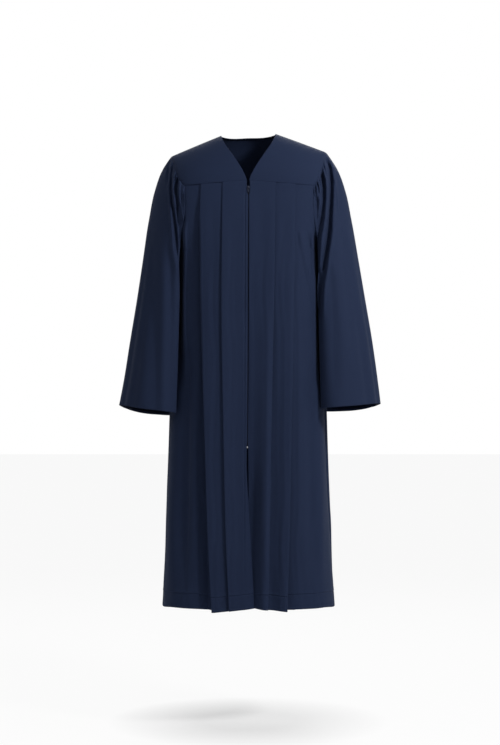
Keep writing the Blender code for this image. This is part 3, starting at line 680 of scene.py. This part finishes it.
def panel_cloth(name, grid, inward, edge_turned, flip):
    """A panel with its hem and, if it has one, its front edge turned under, and its top tucked in."""
    hem_line = grid[..., 2] - grid[-1, :, 2] - HEM_DEPTH
    edge_line = across_from_edge(grid) - EDGE_DEPTH
    rise = ease(0.0, 0.012, edge_line[0] + EDGE_DEPTH) if edge_turned else np.ones(grid.shape[1])
    grid, inward = turned_under(grid, inward, HEM_DEPTH, 3)
    spare = len(grid) - len(hem_line)
    hem_line, edge_line = padded(hem_line, rows=(0, spare)), padded(edge_line, rows=(0, spare))
    if edge_turned:
        grid, inward = turned_edge(grid, inward, EDGE_DEPTH, 2)
        spare = grid.shape[1] - hem_line.shape[1]
        hem_line, edge_line = padded(hem_line, columns=(spare, 0)), padded(edge_line, columns=(spare, 0))
        rise = np.pad(rise, (spare, 0))
    back = np.array([0.0, -np.sign(grid[0, 0, 1]), 0.0])
    up = np.array([0.0, 0.0, 1.0]) * rise[:, None]
    grid = tucked_in(grid, *(back * deep + up * high for deep, high in PANEL_TUCKS))
    lines = [np.pad(line, ((2, 0), (0, 0)), mode="edge") for line in (hem_line, edge_line)]
    if flip:
        grid, lines = grid[:, ::-1], [line[:, ::-1] for line in lines]
    return cloth_mesh(name, grid, hem_line=lines[0], edge_line=lines[1] if edge_turned else None)


def row_shares(fine, coarse, split):
    """Fine steps down to split, coarse ones to the hem's stitches, fine ones over them, then on to 1."""
    line = 1 - HEM_DEPTH / (YOKE_SEAM - HEM)
    above, below = line - 0.005, line + 0.003
    return steps_in(((0.0, split, fine), (split, above, coarse), (above, below, 12), (below, 1.0, 8)), 1.0)


def front_panel(side):
    """A front: its panel, with the front edge and the hem turned under."""
    sign = SIDES[side].sign

    def start(z):
        return sign * straight(EDGES, side, z), straight(EDGES, side + "_depth", z)

    def hem(x):
        return HEM + HEM_RISE * np.maximum(0.0, 1 - np.abs(sign * x - HEM_RISE_X) / HEM_RISE_WIDTH)

    pleats, counts = (side + "_inner", side + "_outer"), (34, 18, 40)
    corner, rows = SIDES[side].corner, row_shares(46, 118, 0.20)
    grid = panel("front", pleats, start, corner, front_seam, hem, FRONT_CREASES, sign, counts, rows, 1.7)
    inward = normals_of(grid)
    grid[..., 0] *= sign
    inward[..., 0] *= sign
    return panel_cloth("front_" + side, grid, inward, True, side == "left")


def back_panel():
    """The back: two halves of a panel that share the centre column, with the hem turned under."""

    def start(z):
        return 0.0 * z, 0.0 * z

    def seam(x):
        return np.full_like(x, BACK_SEAM)

    def hem(x):
        return np.full_like(x, HEM)

    pleats, counts, rows = ("back_inner", "back_outer"), (11, 15, 32), row_shares(30, 84, 0.16)
    halves = []
    for sign in (-1, 1):
        grid = panel("back", pleats, start, BACK_CORNER_X, seam, hem, BACK_CREASES, sign, counts, rows)
        halves.append(grid * np.array([sign, 1.0, 1.0]))
    grid = joined(halves)
    return panel_cloth("back", grid, -normals_of(grid), False, True)


# ---------------- yoke pieces
def front_yoke(side):
    """A front yoke: the arch from seam to shoulder, with its neckline and its lower edge turned under."""
    v = np.linspace(0.0, 1.0, 90)[:, None]
    u = np.linspace(0.0, 1.0, 76)[None, :]
    neck = front_neck(side, v)
    x = neck + (yoke_side(side, v, "front") - neck) * u
    grid = yoke_point(SIDES[side].sign * x, np.broadcast_to(v, x.shape))
    inward = -normals_of(grid) * SIDES[side].sign
    dip = YOKE_DIP * (1 - ease(0.0, 0.03, 1 - u)) + SHOULDER_DIP * (1 - ease(0.0, 0.035, 1 - v))
    grid = (grid + inward * dip[..., None])[::-1]
    edge_line = across_from_edge(grid) - NECK_STITCH
    grid, inward = turned_under(grid, inward[::-1], YOKE_TURN, 2)
    edge_line = padded(edge_line, rows=(0, len(grid) - len(edge_line)))
    grid, inward = turned_edge(grid, inward, NECK_TURN, 2)
    edge_line = padded(edge_line, columns=(grid.shape[1] - edge_line.shape[1], 0))
    if side == "right":
        grid, edge_line = grid[:, ::-1], edge_line[:, ::-1]
    return cloth_mesh("yoke_front_" + side, grid, edge_line=edge_line)


def back_yoke():
    """The back yoke: columns from the right armhole to the left one, rows from its seam to the neckline."""
    v = np.linspace(0.0, 1.0, 70)[:, None]
    shares = np.linspace(0.0, 1.0, 44)
    halves = []
    for side in SIDES:
        inner = NECK_X * np.sin(shares * math.pi / 2)[None, :] + 0.0 * v
        outer = NECK_X + (yoke_side(side, v, "back") - NECK_X) * shares[None, 1:]
        halves.append(SIDES[side].sign * np.concatenate([inner, outer], axis=1))
    x = joined(halves)
    inside = np.sqrt(np.maximum(0.0, 1 - (x / NECK_X) ** 2))
    base = body_point(turn_at(x, BACK_SEAM), np.full_like(x, BACK_SEAM), 0.0, "back")[..., 1]
    reach = np.clip(NECK_BACK * inside / (base - RIDGE_Y), 0.0, 1.0)
    top = np.arccos(reach ** (YOKE_POWER / 2)) * 2 / math.pi
    grid = yoke_point(x, v * top, "back")
    grid, inward = turned_under(grid, normals_of(grid), YOKE_TURN, 2)
    grid, inward = turned_under(grid[::-1], inward[::-1], YOKE_TURN, 2)
    return cloth_mesh("yoke_back", grid)


# ---------------- sleeves
# Runs of even steps (from, to, how many), closest at the gathers: degrees round a sleeve from its
# outer side forward, and shares of its length.
SLEEVE_ANGLES = ((0, 12, 12), (12, 112, 184), (112, 180, 44), (180, 250, 36), (250, 360, 64))
SLEEVE_ROWS = ((0.0, 0.16, 40), (0.16, 0.45, 36), (0.45, 1.0, 35))


def armhole(side):
    """The armhole as two runs of points from the shoulder to the underarm, down the front and the back."""
    runs = []
    for half, corner_x in (("front", SIDES[side].corner), ("back", BACK_CORNER_X)):
        v = np.linspace(1.0, 0.0, 60)
        yoke = yoke_point(SIDES[side].sign * yoke_side(side, v, half), v, half)
        yoke[:, 0] = np.abs(yoke[:, 0])
        corner_z = float(front_seam(np.array(corner_x))) if half == "front" else BACK_SEAM
        z = corner_z + (UNDERARM - corner_z) * np.sin(np.linspace(0.0, 1.0, 90)[1:] * math.pi / 2)
        turn = side_turn(z, float(turn_at(corner_x, corner_z)), corner_z)
        runs.append(np.concatenate([yoke, body_point(turn, z, 0.0, half)]))
    return runs


def points_at(run, shares):
    """Points at shares of the length of a run of points."""
    length = lengths_along(run)
    return np.stack([np.interp(shares * length[-1], length, run[:, k]) for k in range(3)], axis=-1)


def sleeve(side):
    """A bell sleeve: level superellipses that widen downwards, eased into the armhole's shape at the top.

    x = middle + half * cos(a)^(2/p) and y = -front * sin(a)^(2/p); near the armhole the difference
    between its outline and that section fades out. The creases move it straight back, or forward
    on its back, and a point that would lie in the body is moved clear of it.
    """
    angle, t = steps_in(SLEEVE_ANGLES), steps_in(SLEEVE_ROWS, 1.0)[:, None]
    front, back = armhole(side)
    in_front = (angle <= 180.0)[:, None]
    start = np.where(in_front, points_at(front, angle / 180.0), points_at(back, (360.0 - angle) / 180.0))
    start[:, 0] += CAP_OUT

    outer, fore, inner, rear = SIDES[side].cuff
    cosine, sine = np.cos(np.radians(angle)), np.sin(np.radians(angle))
    cuff = (
        (outer + fore + inner + rear) / 4
        + (outer - inner) / 2 * cosine
        + (fore - rear) / 2 * sine
        + (outer + inner - fore - rear) / 4 * (2 * cosine**2 - 1)
    )
    z = start[None, :, 2] * (1 - t) + cuff[None, :] * t
    wave_x, wave_y = signed_power(cosine, 2 / SLEEVE_POWER), signed_power(sine, 2 / SLEEVE_POWER)

    def hanging(z):
        reach, close = read(SLEEVE, side + "_outer", z), read(SLEEVE, "inner", z)
        x = (reach + close) / 2 + (reach - close) / 2 * wave_x
        y = -np.where(wave_y > 0, read(SLEEVE, "front", z), read(SLEEVE, "back", z)) * wave_y
        return np.stack([x, y * (1 - SLEEVE_SLANT * wave_x)], axis=-1)

    fading = (1 - ease(0.0, CAP_BLEND, t)[..., None]) * (start[None, :, :2] - hanging(start[None, :, 2]))
    grid = np.concatenate([hanging(z) + fading, z[..., None]], axis=-1)
    inward = into_tube(grid)

    x, y = SIDES[side].sign * grid[..., 0], grid[..., 1]
    fronts = crease_depth(SLEEVE_CREASES[side], x, z) * ease(0.0, 0.03, -y)
    backs = crease_depth(SLEEVE_BACK_CREASES, grid[..., 0], z) * ease(0.0, 0.03, y)
    below = np.linalg.norm(grid - grid[:1], axis=-1)
    seeds = {"right": (0.4, 0.9), "left": (1.9, 2.6)}[side]
    ruffle = 0.0007 * ripple(seeds[0], angle, 9.0)
    ruffle = ruffle * ease(-0.6, 0.0, cosine) * (1 - ease(0.015, 0.06, below))
    turn = np.radians(np.where(angle > 180.0, angle - 360.0, angle))
    bends = ease(0.10, 0.55, np.abs(turn)) * (1 - ease(1.0, 1.5, np.abs(turn)))
    waves = 0.0045 * (0.5 + 0.5 * ripple(seeds[1], turn + 0.10 * t, 0.62))
    ruffle = ruffle + waves * bends * ease(0.12, 0.75, t)
    seam_fade = ease(0.0, 0.006, below)
    grid = grid + inward * (ruffle * seam_fade + CAP_DIP * (1 - ease(0.0, 0.004, below)))[..., None]
    grid[..., 1] += (fronts - backs) * seam_fade

    gap = BODY_GAP + (BODY_CLEARANCE - BODY_GAP) * ease(0.0, 0.15, t)
    grid = clear_of_body(grid, gap, ease(0.0, 0.02, t) * (1 - ease(0.1, 0.5, cosine)))

    hem_line = np.linalg.norm(grid - grid[-1:], axis=-1) - CUFF_DEPTH
    grid, _ = turned_under(grid, into_tube(grid), CUFF_DEPTH, 1)
    hem_line = padded(hem_line, rows=(2, len(grid) - len(hem_line)))
    into = ARMHOLE_MIDDLE - grid[0]
    into = into / np.linalg.norm(into, axis=-1, keepdims=True)
    grid = tucked_in(grid, UNDER_YOKE, UNDER_YOKE + into * (ALLOWANCE - 0.002))
    grid[..., 0] *= SIDES[side].sign
    if side == "left":
        grid, hem_line = grid[:, ::-1], hem_line[:, ::-1]
    return cloth_mesh("sleeve_" + side, grid, closed=True, hem_line=hem_line)


def clear_of_body(grid, gap, share):
    """Points inside the body form moved out to it, by a share of the way.

    Each goes along the ray from the line x = pivot, y = 0 to where the section's superellipse,
    widened by the gap, is met, which halving finds: ((p + s dx) / w)^n + (s dy / d)^n = 1.
    """
    z = grid[..., 2]
    wide = read(BODY, "half_width", z) + gap
    deep = np.where(grid[..., 1] < 0, read(BODY, "front", z), read(BODY, "back", z)) + gap
    pivot = np.interp(z, *CLEAR_FROM)
    ray_x = np.maximum(grid[..., 0] - pivot, 0.004)
    ray_y = np.abs(grid[..., 1])
    low, high = np.ones(z.shape), np.full(z.shape, 12.0)
    for _ in range(30):
        middle = (low + high) / 2
        inside = ((pivot + middle * ray_x) / wide) ** BODY_POWER + (middle * ray_y / deep) ** BODY_POWER < 1
        low, high = np.where(inside, middle, low), np.where(inside, high, middle)
    is_inside = (grid[..., 0] / wide) ** BODY_POWER + (ray_y / deep) ** BODY_POWER < 1
    moved = np.stack([pivot + low * ray_x, np.sign(grid[..., 1]) * low * ray_y, z], axis=-1)
    return grid + (moved - grid) * (is_inside * share)[..., None]


# ---------------- zip
def zip_middle(z):
    """The line the zip runs on, midway between the front edges."""
    return (straight(EDGES, "right", z) + straight(EDGES, "left", z)) / 2


def closed_mesh(name, grid, loop=False):
    """Mesh of rings of points as an object: the rings join up in a loop, or a point closes each end."""
    rings, points = grid.shape[:2]
    index = np.arange(rings * points).reshape(rings, points)
    turned = np.roll(index, -1, axis=1)
    if loop:
        index, turned = np.concatenate([index, index[:1]]), np.concatenate([turned, turned[:1]])
    faces = np.stack([index[:-1], turned[:-1], turned[1:], index[1:]], axis=-1).reshape(-1, 4).tolist()
    vertices = grid.reshape(-1, 3)
    if not loop:
        poles = np.stack([grid[0].mean(axis=0), grid[-1].mean(axis=0)])
        vertices = np.concatenate([vertices, poles])
        first, last = rings * points, rings * points + 1
        faces += np.stack([np.full(points, first), turned[0], index[0]], axis=-1).tolist()
        faces += np.stack([np.full(points, last), index[-1], turned[-1]], axis=-1).tolist()
    mesh = bpy.data.meshes.new(name)
    mesh.from_pydata(vertices.tolist(), [], faces)
    work = bmesh.new()
    work.from_mesh(mesh)
    bmesh.ops.recalc_face_normals(work, faces=work.faces)
    work.to_mesh(mesh)
    work.free()
    mesh.polygons.foreach_set("use_smooth", np.ones(len(mesh.polygons), dtype=bool))
    return linked(name, mesh)


def rounded(count, power):
    """Cosine and sine round a superellipse of that power."""
    angle = np.arange(count) / count * 2 * math.pi
    return signed_power(np.cos(angle), 2 / power), signed_power(np.sin(angle), 2 / power)


def zip_coil():
    """The closed coil: a flat tube that swells once every COIL_PITCH, half a pitch apart on its two sides."""
    z = np.linspace(COIL_TOP, ZIP_STOP + 0.0006, int((COIL_TOP - ZIP_STOP) / COIL_PITCH * 5))[:, None]
    wide, thick = rounded(12, 2.6)
    swell = 0.86 + 0.14 * np.cos(2 * math.pi * z / COIL_PITCH + np.sign(wide) * math.pi / 2)
    groove = 1 - 0.45 * (np.abs(wide) < 0.2)
    x = zip_middle(z) + COIL_HALF_WIDTH * wide * swell
    depth = straight(EDGES, "right_depth", z) + COIL_DEPTH - COIL_HALF_THICK * thick * swell * groove
    return closed_mesh("zip_coil", body_point(turn_at(x, z), z + 0.0 * x, depth))


def placed(z, x, y, along):
    """Points with x across, y out of the cloth and along up it, from the place at height z on the zip."""
    low, here, high = (body_point(0.0, z + step) for step in (-0.004, 0.0, 0.004))
    up = (high - low) / np.linalg.norm(high - low)
    across = np.array([1.0, 0.0, 0.0])
    out = np.cross(across, up)
    out = out if out[1] < 0 else -out
    origin = np.array([float(zip_middle(z)), here[1], z])
    x, y, along = np.broadcast_arrays(x, y, along)
    return origin + x[..., None] * across + y[..., None] * out + along[..., None] * up


def plate(z, half_width, half_length, half_thick, y, waist=0.0, skew=0.0):
    """Rings of a plate with round edges: a superellipsoid, narrower towards its lower end by the waist."""
    share = np.sin(np.linspace(-1.0, 1.0, 18) * math.pi / 2)[:, None]
    size = (1 - np.abs(share) ** 5).clip(1e-4) ** (1 / 3)
    wide, thick = rounded(20, 4.0)
    taper = 1 - waist * (1 - share) / 2
    out = y + half_thick * thick * size
    return placed(z, half_width * taper * wide * size, out, skew + half_length * share)


def slider():
    """The slider: a face plate, a rear plate, the bridge between them and the bail arched over the face."""
    plates = (  # half width, half length, half thickness, how far out, waist and how far up
        (0.0032, 0.0045, 0.00075, 0.0002, 0.34, 0.0),
        (0.0032, 0.0045, 0.00055, -0.0036, 0.34, 0.0),
        (0.0011, 0.0012, 0.0022, -0.0017, 0.0, 0.0033),
    )
    pieces = [plate(ZIP_HINGE, *sizes) for sizes in plates]
    arch = np.linspace(-0.06, 1.06, 24)[:, None] * math.pi
    wide, thick = rounded(12, 3.0)
    radial = 1 + WIRE_HALF_THICK * thick / BAIL_RADIUS
    out, up = 0.0004 + BAIL_OUT * np.sin(arch) * radial, BAIL_UP * np.cos(arch) * radial
    pieces.append(placed(ZIP_HINGE, BAIL_HALF_WIDTH * wide + 0.0 * arch, out, up))
    return [closed_mesh(f"zip_slider_{k}", part) for k, part in enumerate(pieces)]


def pull_tab():
    """The pull tab: a flat frame with a round-cornered hole, whose section is a superellipse."""
    angle = np.arange(72) / 72 * 2 * math.pi
    cosine, sine = np.cos(angle)[:, None], np.sin(angle)[:, None]

    def outline(half_width, middle, half_height, power, taper=0.0):
        x = half_width * signed_power(cosine, power) * (1 - taper * (1 + sine) / 2)
        return x, middle + half_height * signed_power(sine, power)

    outer_x, outer_z = outline(0.0021, -0.00535, 0.00585, 0.55, 0.10)
    inner_x, inner_z = outline(0.0011, -0.00275, 0.00225, 0.7)
    across, thick = rounded(12, 4.0)
    x = (outer_x + inner_x) / 2 + (outer_x - inner_x) / 2 * across
    along = (outer_z + inner_z) / 2 + (outer_z - inner_z) / 2 * across
    out = TAB_OUT + WIRE_HALF_THICK * thick + 0.0 * x
    return closed_mesh("zip_tab", placed(ZIP_HINGE, x, out, along), loop=True)


def bottom_stop():
    """The bottom stop: a small clamp, a plate with round edges bent over the foot of the coil."""
    middle = ZIP_STOP - 0.0022
    back = float(straight(EDGES, "right_depth", middle))
    return closed_mesh("zip_stop", plate(middle, 0.0013, 0.0021, 0.0017, -back - 0.0013))


# ---------------- materials
def feed(tree, item, inputs):
    """Sets a node's named or numbered sockets to numbers or colours, or links other outputs to them."""
    for key, value in inputs.items():
        if isinstance(value, bpy.types.NodeSocket):
            tree.links.new(value, item.inputs[key])
        else:
            item.inputs[key].default_value = value


def node(tree, kind, inputs=None, **settings):
    """A shader node with its settings and what goes into its sockets."""
    item = tree.nodes.new("ShaderNode" + kind)
    for name, value in settings.items():
        setattr(item, name, value)
    feed(tree, item, inputs or {})
    return item


def math_node(tree, operation, *values):
    """The output of a Math node with numbers or sockets in its inputs."""
    return node(tree, "Math", dict(enumerate(values)), operation=operation).outputs[0]


def noise(tree, vector, scale, detail=2.0):
    """The output of a Noise Texture."""
    return node(tree, "TexNoise", {"Scale": scale, "Detail": detail, "Vector": vector}).outputs["Fac"]


def mixed(tree, factor, dark, light):
    """The output of a mix of two colours."""
    colours = {"Factor": factor, "A": (*dark, 1.0), "B": (*light, 1.0)}
    return node(tree, "Mix", colours, data_type="RGBA").outputs["Result"]


def relief(tree, height, strength, distance):
    """The normal that a height gives."""
    inputs = {"Strength": strength, "Distance": distance, "Height": height}
    return node(tree, "Bump", inputs).outputs["Normal"]


def group(name, inputs, outputs):
    """An empty shader node group with named sockets; inputs and outputs are names and their types."""
    tree = bpy.data.node_groups.new(name, "ShaderNodeTree")
    for direction, sockets in (("INPUT", inputs), ("OUTPUT", outputs)):
        for label, kind in sockets.items():
            tree.interface.new_socket(label, in_out=direction, socket_type="NodeSocket" + kind)
    return tree, tree.nodes.new("NodeGroupInput").outputs, tree.nodes.new("NodeGroupOutput")


def weave_group():
    """Height of a twill: sin of the diagonal across the threads, roughened by noise."""
    sockets = {"Map": "Vector", "Threads": "Float"}, {"Height": "Float", "Fleck": "Float"}
    tree, given, result = group("twill_weave", *sockets)
    parts = node(tree, "SeparateXYZ", {0: given["Map"]}).outputs
    across, down = (math_node(tree, "MULTIPLY", parts[axis], given["Threads"]) for axis in "XY")
    slant = math_node(tree, "ADD", across, math_node(tree, "MULTIPLY", down, 0.6))
    counter = math_node(tree, "SUBTRACT", math_node(tree, "MULTIPLY", across, 0.5), down)
    diagonal, threads = (math_node(tree, "SINE", way) for way in (slant, counter))
    fleck = noise(tree, given["Map"], 900.0, 3.0)
    height = math_node(tree, "ADD", diagonal, math_node(tree, "MULTIPLY", threads, 0.6))
    height = math_node(tree, "ADD", math_node(tree, "MULTIPLY", height, 0.3), fleck)
    feed(tree, result, {"Height": height, "Fleck": fleck})
    return tree


def stitch_group():
    """Height of a row of stitches: a thread where the run's sine is above -0.5, in a wider trough."""
    tree, given, result = group("stitch_row", {"Across": "Float", "Along": "Float"}, {"Height": "Float"})
    away = math_node(tree, "ABSOLUTE", given["Across"])

    def ridge(half_width):
        share = math_node(tree, "MULTIPLY", away, 1.0 / half_width)
        return math_node(tree, "MAXIMUM", math_node(tree, "SUBTRACT", 1.0, share), 0.0)

    trough, thread = ridge(STITCH_TROUGH), ridge(STITCH_THREAD)
    wave = math_node(tree, "SINE", math_node(tree, "MULTIPLY", given["Along"], 2 * math.pi / STITCH_LENGTH))
    shown = math_node(tree, "GREATER_THAN", wave, -0.5)
    raised = math_node(tree, "MULTIPLY", math_node(tree, "MULTIPLY", thread, shown), 2.2)
    height = math_node(tree, "SUBTRACT", raised, math_node(tree, "MULTIPLY", trough, 2.0))
    feed(tree, result, {"Height": height})
    return tree


WEAVE = weave_group()
STITCHES = stitch_group()


def new_material(name):
    """A material, its node tree and its Principled BSDF."""
    material = bpy.data.materials.new(name)
    material.use_nodes = True
    return material, material.node_tree, material.node_tree.nodes["Principled BSDF"]


def cloth_material(name, dark, light, threads=9000.0, roughness=0.82, bump=0.25, coordinates="UV"):
    """Woven cloth: two close colours mixed by a slow and a fine noise, a twill in the bump, a soft sheen.

    Rows of stitches run where the attributes hem_line and edge_line are 0, on cloth with a map.
    """
    material, tree, shader = new_material(name)
    place = node(tree, "TexCoord").outputs
    weave = node(tree, "Group", node_tree=WEAVE)
    feed(tree, weave, {"Map": place[coordinates], "Threads": threads})
    slow = math_node(tree, "MULTIPLY", noise(tree, place["Object"], 9.0, 3.0), 0.6)
    blend = math_node(tree, "ADD", slow, math_node(tree, "MULTIPLY", weave.outputs["Fleck"], 0.4))
    height = weave.outputs["Height"]
    if coordinates == "UV":
        parts = node(tree, "SeparateXYZ", {0: place["UV"]}).outputs
        for label, axis in (("hem_line", "X"), ("edge_line", "Y")):
            line = node(tree, "Attribute", attribute_name=label).outputs["Fac"]
            stitches = node(tree, "Group", node_tree=STITCHES)
            feed(tree, stitches, {"Across": line, "Along": parts[axis]})
            height = math_node(tree, "ADD", height, stitches.outputs["Height"])
    feed(tree, shader, {
        "Base Color": mixed(tree, blend, dark, light),
        "Roughness": roughness,
        "Specular IOR Level": 0.10,
        "Sheen Weight": 0.02,
        "Sheen Roughness": 0.45,
        "Sheen Tint": (0.55, 0.62, 0.80, 1.0),
        "Normal": relief(tree, height, bump, 0.0003),
    })
    return material


def enamel_material(name, colour, roughness, metallic, gloss=0.5):
    """Painted or bare metal: a slow colour change, fine scratches in the roughness, a faint relief."""
    material, tree, shader = new_material(name)
    place = node(tree, "TexCoord").outputs["Object"]
    slow = noise(tree, place, 420.0, 4.0)
    scratches = math_node(tree, "MULTIPLY", noise(tree, place, 2600.0), 0.16)
    dark, light = ([share * part for part in colour] for share in (0.8, 1.25))
    feed(tree, shader, {
        "Base Color": mixed(tree, slow, dark, light),
        "Metallic": metallic,
        "Roughness": math_node(tree, "ADD", scratches, roughness - 0.08),
        "Specular IOR Level": gloss,
        "Normal": relief(tree, slow, 0.15, 0.0001),
    })
    return material


NAVY = cloth_material("navy_crepe", (0.0140, 0.0229, 0.0552), (0.0173, 0.0274, 0.0634))
TAPE = cloth_material(
    "zip_tape_weave", (0.0105, 0.0140, 0.0300), (0.0140, 0.0180, 0.0370), 5200.0, 0.8, 0.5, "Object"
)
COIL = enamel_material("zip_coil_nylon", (0.0050, 0.0065, 0.0130), 0.60, 0.0, 0.12)
ENAMEL = enamel_material("zip_navy_enamel", (0.0100, 0.0150, 0.0340), 0.48, 0.0, 0.22)
STOP_METAL = enamel_material("zip_stop_nickel", (0.3600, 0.3700, 0.3900), 0.42, 1.0)


def dress(item, material, node_names, body="robe"):
    """Gives a finished piece its material in a slot and its body, and hides the CAD nodes it stands for."""
    item.data.materials.clear()
    item.data.materials.append(material)
    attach(item, body)
    if node_names:
        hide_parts(*node_names)
    return item


# ---------------- the robe
# Each cloth piece's cut: width, length and area in metres, pleats, hems and seam allowances let
# out; how it hangs; and what it hangs from or rests on.
CUTS = {
    "front_right": (0.462, 1.114, 0.418, "hung", ["yoke_front_right_cloth"]),
    "front_left": (0.492, 1.112, 0.428, "hung", ["yoke_front_left_cloth"]),
    "yoke_front_right": (0.163, 0.216, 0.0265, "draped", ["yoke_back_cloth"]),
    "yoke_front_left": (0.170, 0.219, 0.0277, "draped", ["yoke_back_cloth"]),
    "sleeve_right": (0.764, 0.640, 0.325, "gathered", ["yoke_front_right_cloth", "yoke_back_cloth"]),
    "sleeve_left": (0.786, 0.648, 0.334, "gathered", ["yoke_front_left_cloth", "yoke_back_cloth"]),
    "back": (0.866, 1.098, 0.796, "hung", ["yoke_back_cloth"]),
    "yoke_back": (0.445, 0.214, 0.0675, "draped", []),
}
makers = {"front": front_panel, "yoke_front": front_yoke, "sleeve": sleeve}
cloths = {f"{kind}_{side}": make(side) for side in SIDES for kind, make in makers.items()}
cloths |= {"back": back_panel(), "yoke_back": back_yoke()}
for node_name, (width, length, area, held, support) in CUTS.items():
    piece = dress(cloths[node_name], NAVY, [node_name])

dress(zip_coil(), COIL, ["zip_chain"])
for number, part in enumerate(slider()):
    dress(part, ENAMEL, ["zip_slider"] if number == 0 else [])
dress(pull_tab(), ENAMEL, ["zip_pull_tab"], "pull_tab")
dress(bottom_stop(), STOP_METAL, ["zip_bottom_stop"])
for side in SIDES:
    for slot in bpy.data.objects["zip_tape_" + side].material_slots:
        slot.material = TAPE

# ---------------- stage, light and camera
FLOOR_HEIGHT = -1.42
LIGHT_MIDDLE = np.array((0.0, 0.0, -0.35))  # the lights point here
LIGHT_DISTANCE = 2.4
CAMERA_DISTANCE = 4.6
VIEW_HALF_HEIGHT = 0.9015  # what the camera sees, up and down, at the origin
VIEW_MIDDLE = (0.0039, -0.577)  # x and height
WORLD_STRENGTH = 0.08
LIGHTS = (  # name, azimuth (0 in front, 90 on the wearer's left), elevation, power, size
    ("key", 47.0, 30.0, 38.5, 0.45),
    ("fill", -55.0, 15.0, 6.0, 1.2),
    ("front", 5.0, 15.0, 4.4, 1.2),
    ("top", 0.0, 65.0, 2.5, 1.2),
    ("side_low", 85.0, 5.0, 5.0, 1.2),
    ("back", 176.0, 30.0, 30.0, 1.2),
)


def stage():
    """A pale floor below the hem, white to the camera but for the robe's shadow."""
    bpy.ops.mesh.primitive_plane_add(size=30.0, location=(0.0, 0.0, FLOOR_HEIGHT))
    floor = bpy.context.object
    floor.name = "floor"
    material, tree, shader = new_material("pale_floor")
    feed(tree, shader, {"Base Color": (0.9, 0.9, 0.9, 1.0), "Roughness": 0.9})
    glow = node(tree, "Emission", {"Color": (1.0, 1.0, 1.0, 1.0)})
    reach = node(tree, "VectorMath", {0: node(tree, "TexCoord").outputs["Object"]}, operation="LENGTH")
    share = node(tree, "MapRange", {
        "Value": reach.outputs["Value"],
        "From Min": 0.12,
        "From Max": 0.34,
        "To Min": 0.45,
        "To Max": 0.93,
    }).outputs["Result"]
    seen = math_node(tree, "MULTIPLY", node(tree, "LightPath").outputs["Is Camera Ray"], share)
    mix = node(tree, "MixShader", {"Fac": seen, 1: shader.outputs["BSDF"], 2: glow.outputs["Emission"]})
    feed(tree, tree.nodes["Material Output"], {"Surface": mix.outputs["Shader"]})
    floor.data.materials.append(material)


def area_light(name, azimuth, elevation, power, size):
    """A square area light, turned towards LIGHT_MIDDLE and unseen by the camera."""
    data = bpy.data.lights.new(name, "AREA")
    data.size = size
    data.energy = power
    item = linked(name, data)
    around, up = math.radians(azimuth), math.radians(elevation)
    away = np.array((math.sin(around) * math.cos(up), -math.cos(around) * math.cos(up), math.sin(up)))
    item.location = LIGHT_MIDDLE + LIGHT_DISTANCE * away
    item.rotation_euler = (math.pi / 2 - up, 0.0, around)
    item.visible_camera = False


def world_light(strength):
    """An even white world, white to the camera and of that strength to everything else."""
    world = bpy.data.worlds.new("white")
    bpy.context.scene.world = world
    world.use_nodes = True
    tree = world.node_tree
    rays = node(tree, "LightPath").outputs
    seen = math_node(tree, "MAXIMUM", rays["Is Camera Ray"], rays["Is Glossy Ray"])
    level = math_node(tree, "ADD", math_node(tree, "MULTIPLY", seen, 1.0 - strength), strength)
    feed(tree, tree.nodes["Background"], {"Color": (1.0, 1.0, 1.0, 1.0), "Strength": level})


stage()
world_light(WORLD_STRENGTH)
for light in LIGHTS:
    area_light(*light)

camera = bpy.data.cameras.new("camera")
camera.sensor_width = 36.0
camera.lens = camera.sensor_width / 2 * CAMERA_DISTANCE / VIEW_HALF_HEIGHT
eye = linked("camera", camera)
eye.location = (VIEW_MIDDLE[0], -CAMERA_DISTANCE, VIEW_MIDDLE[1])
eye.rotation_euler = (math.pi / 2, 0.0, 0.0)
bpy.context.scene.camera = eye
bpy.context.scene.view_settings.view_transform = "Standard"
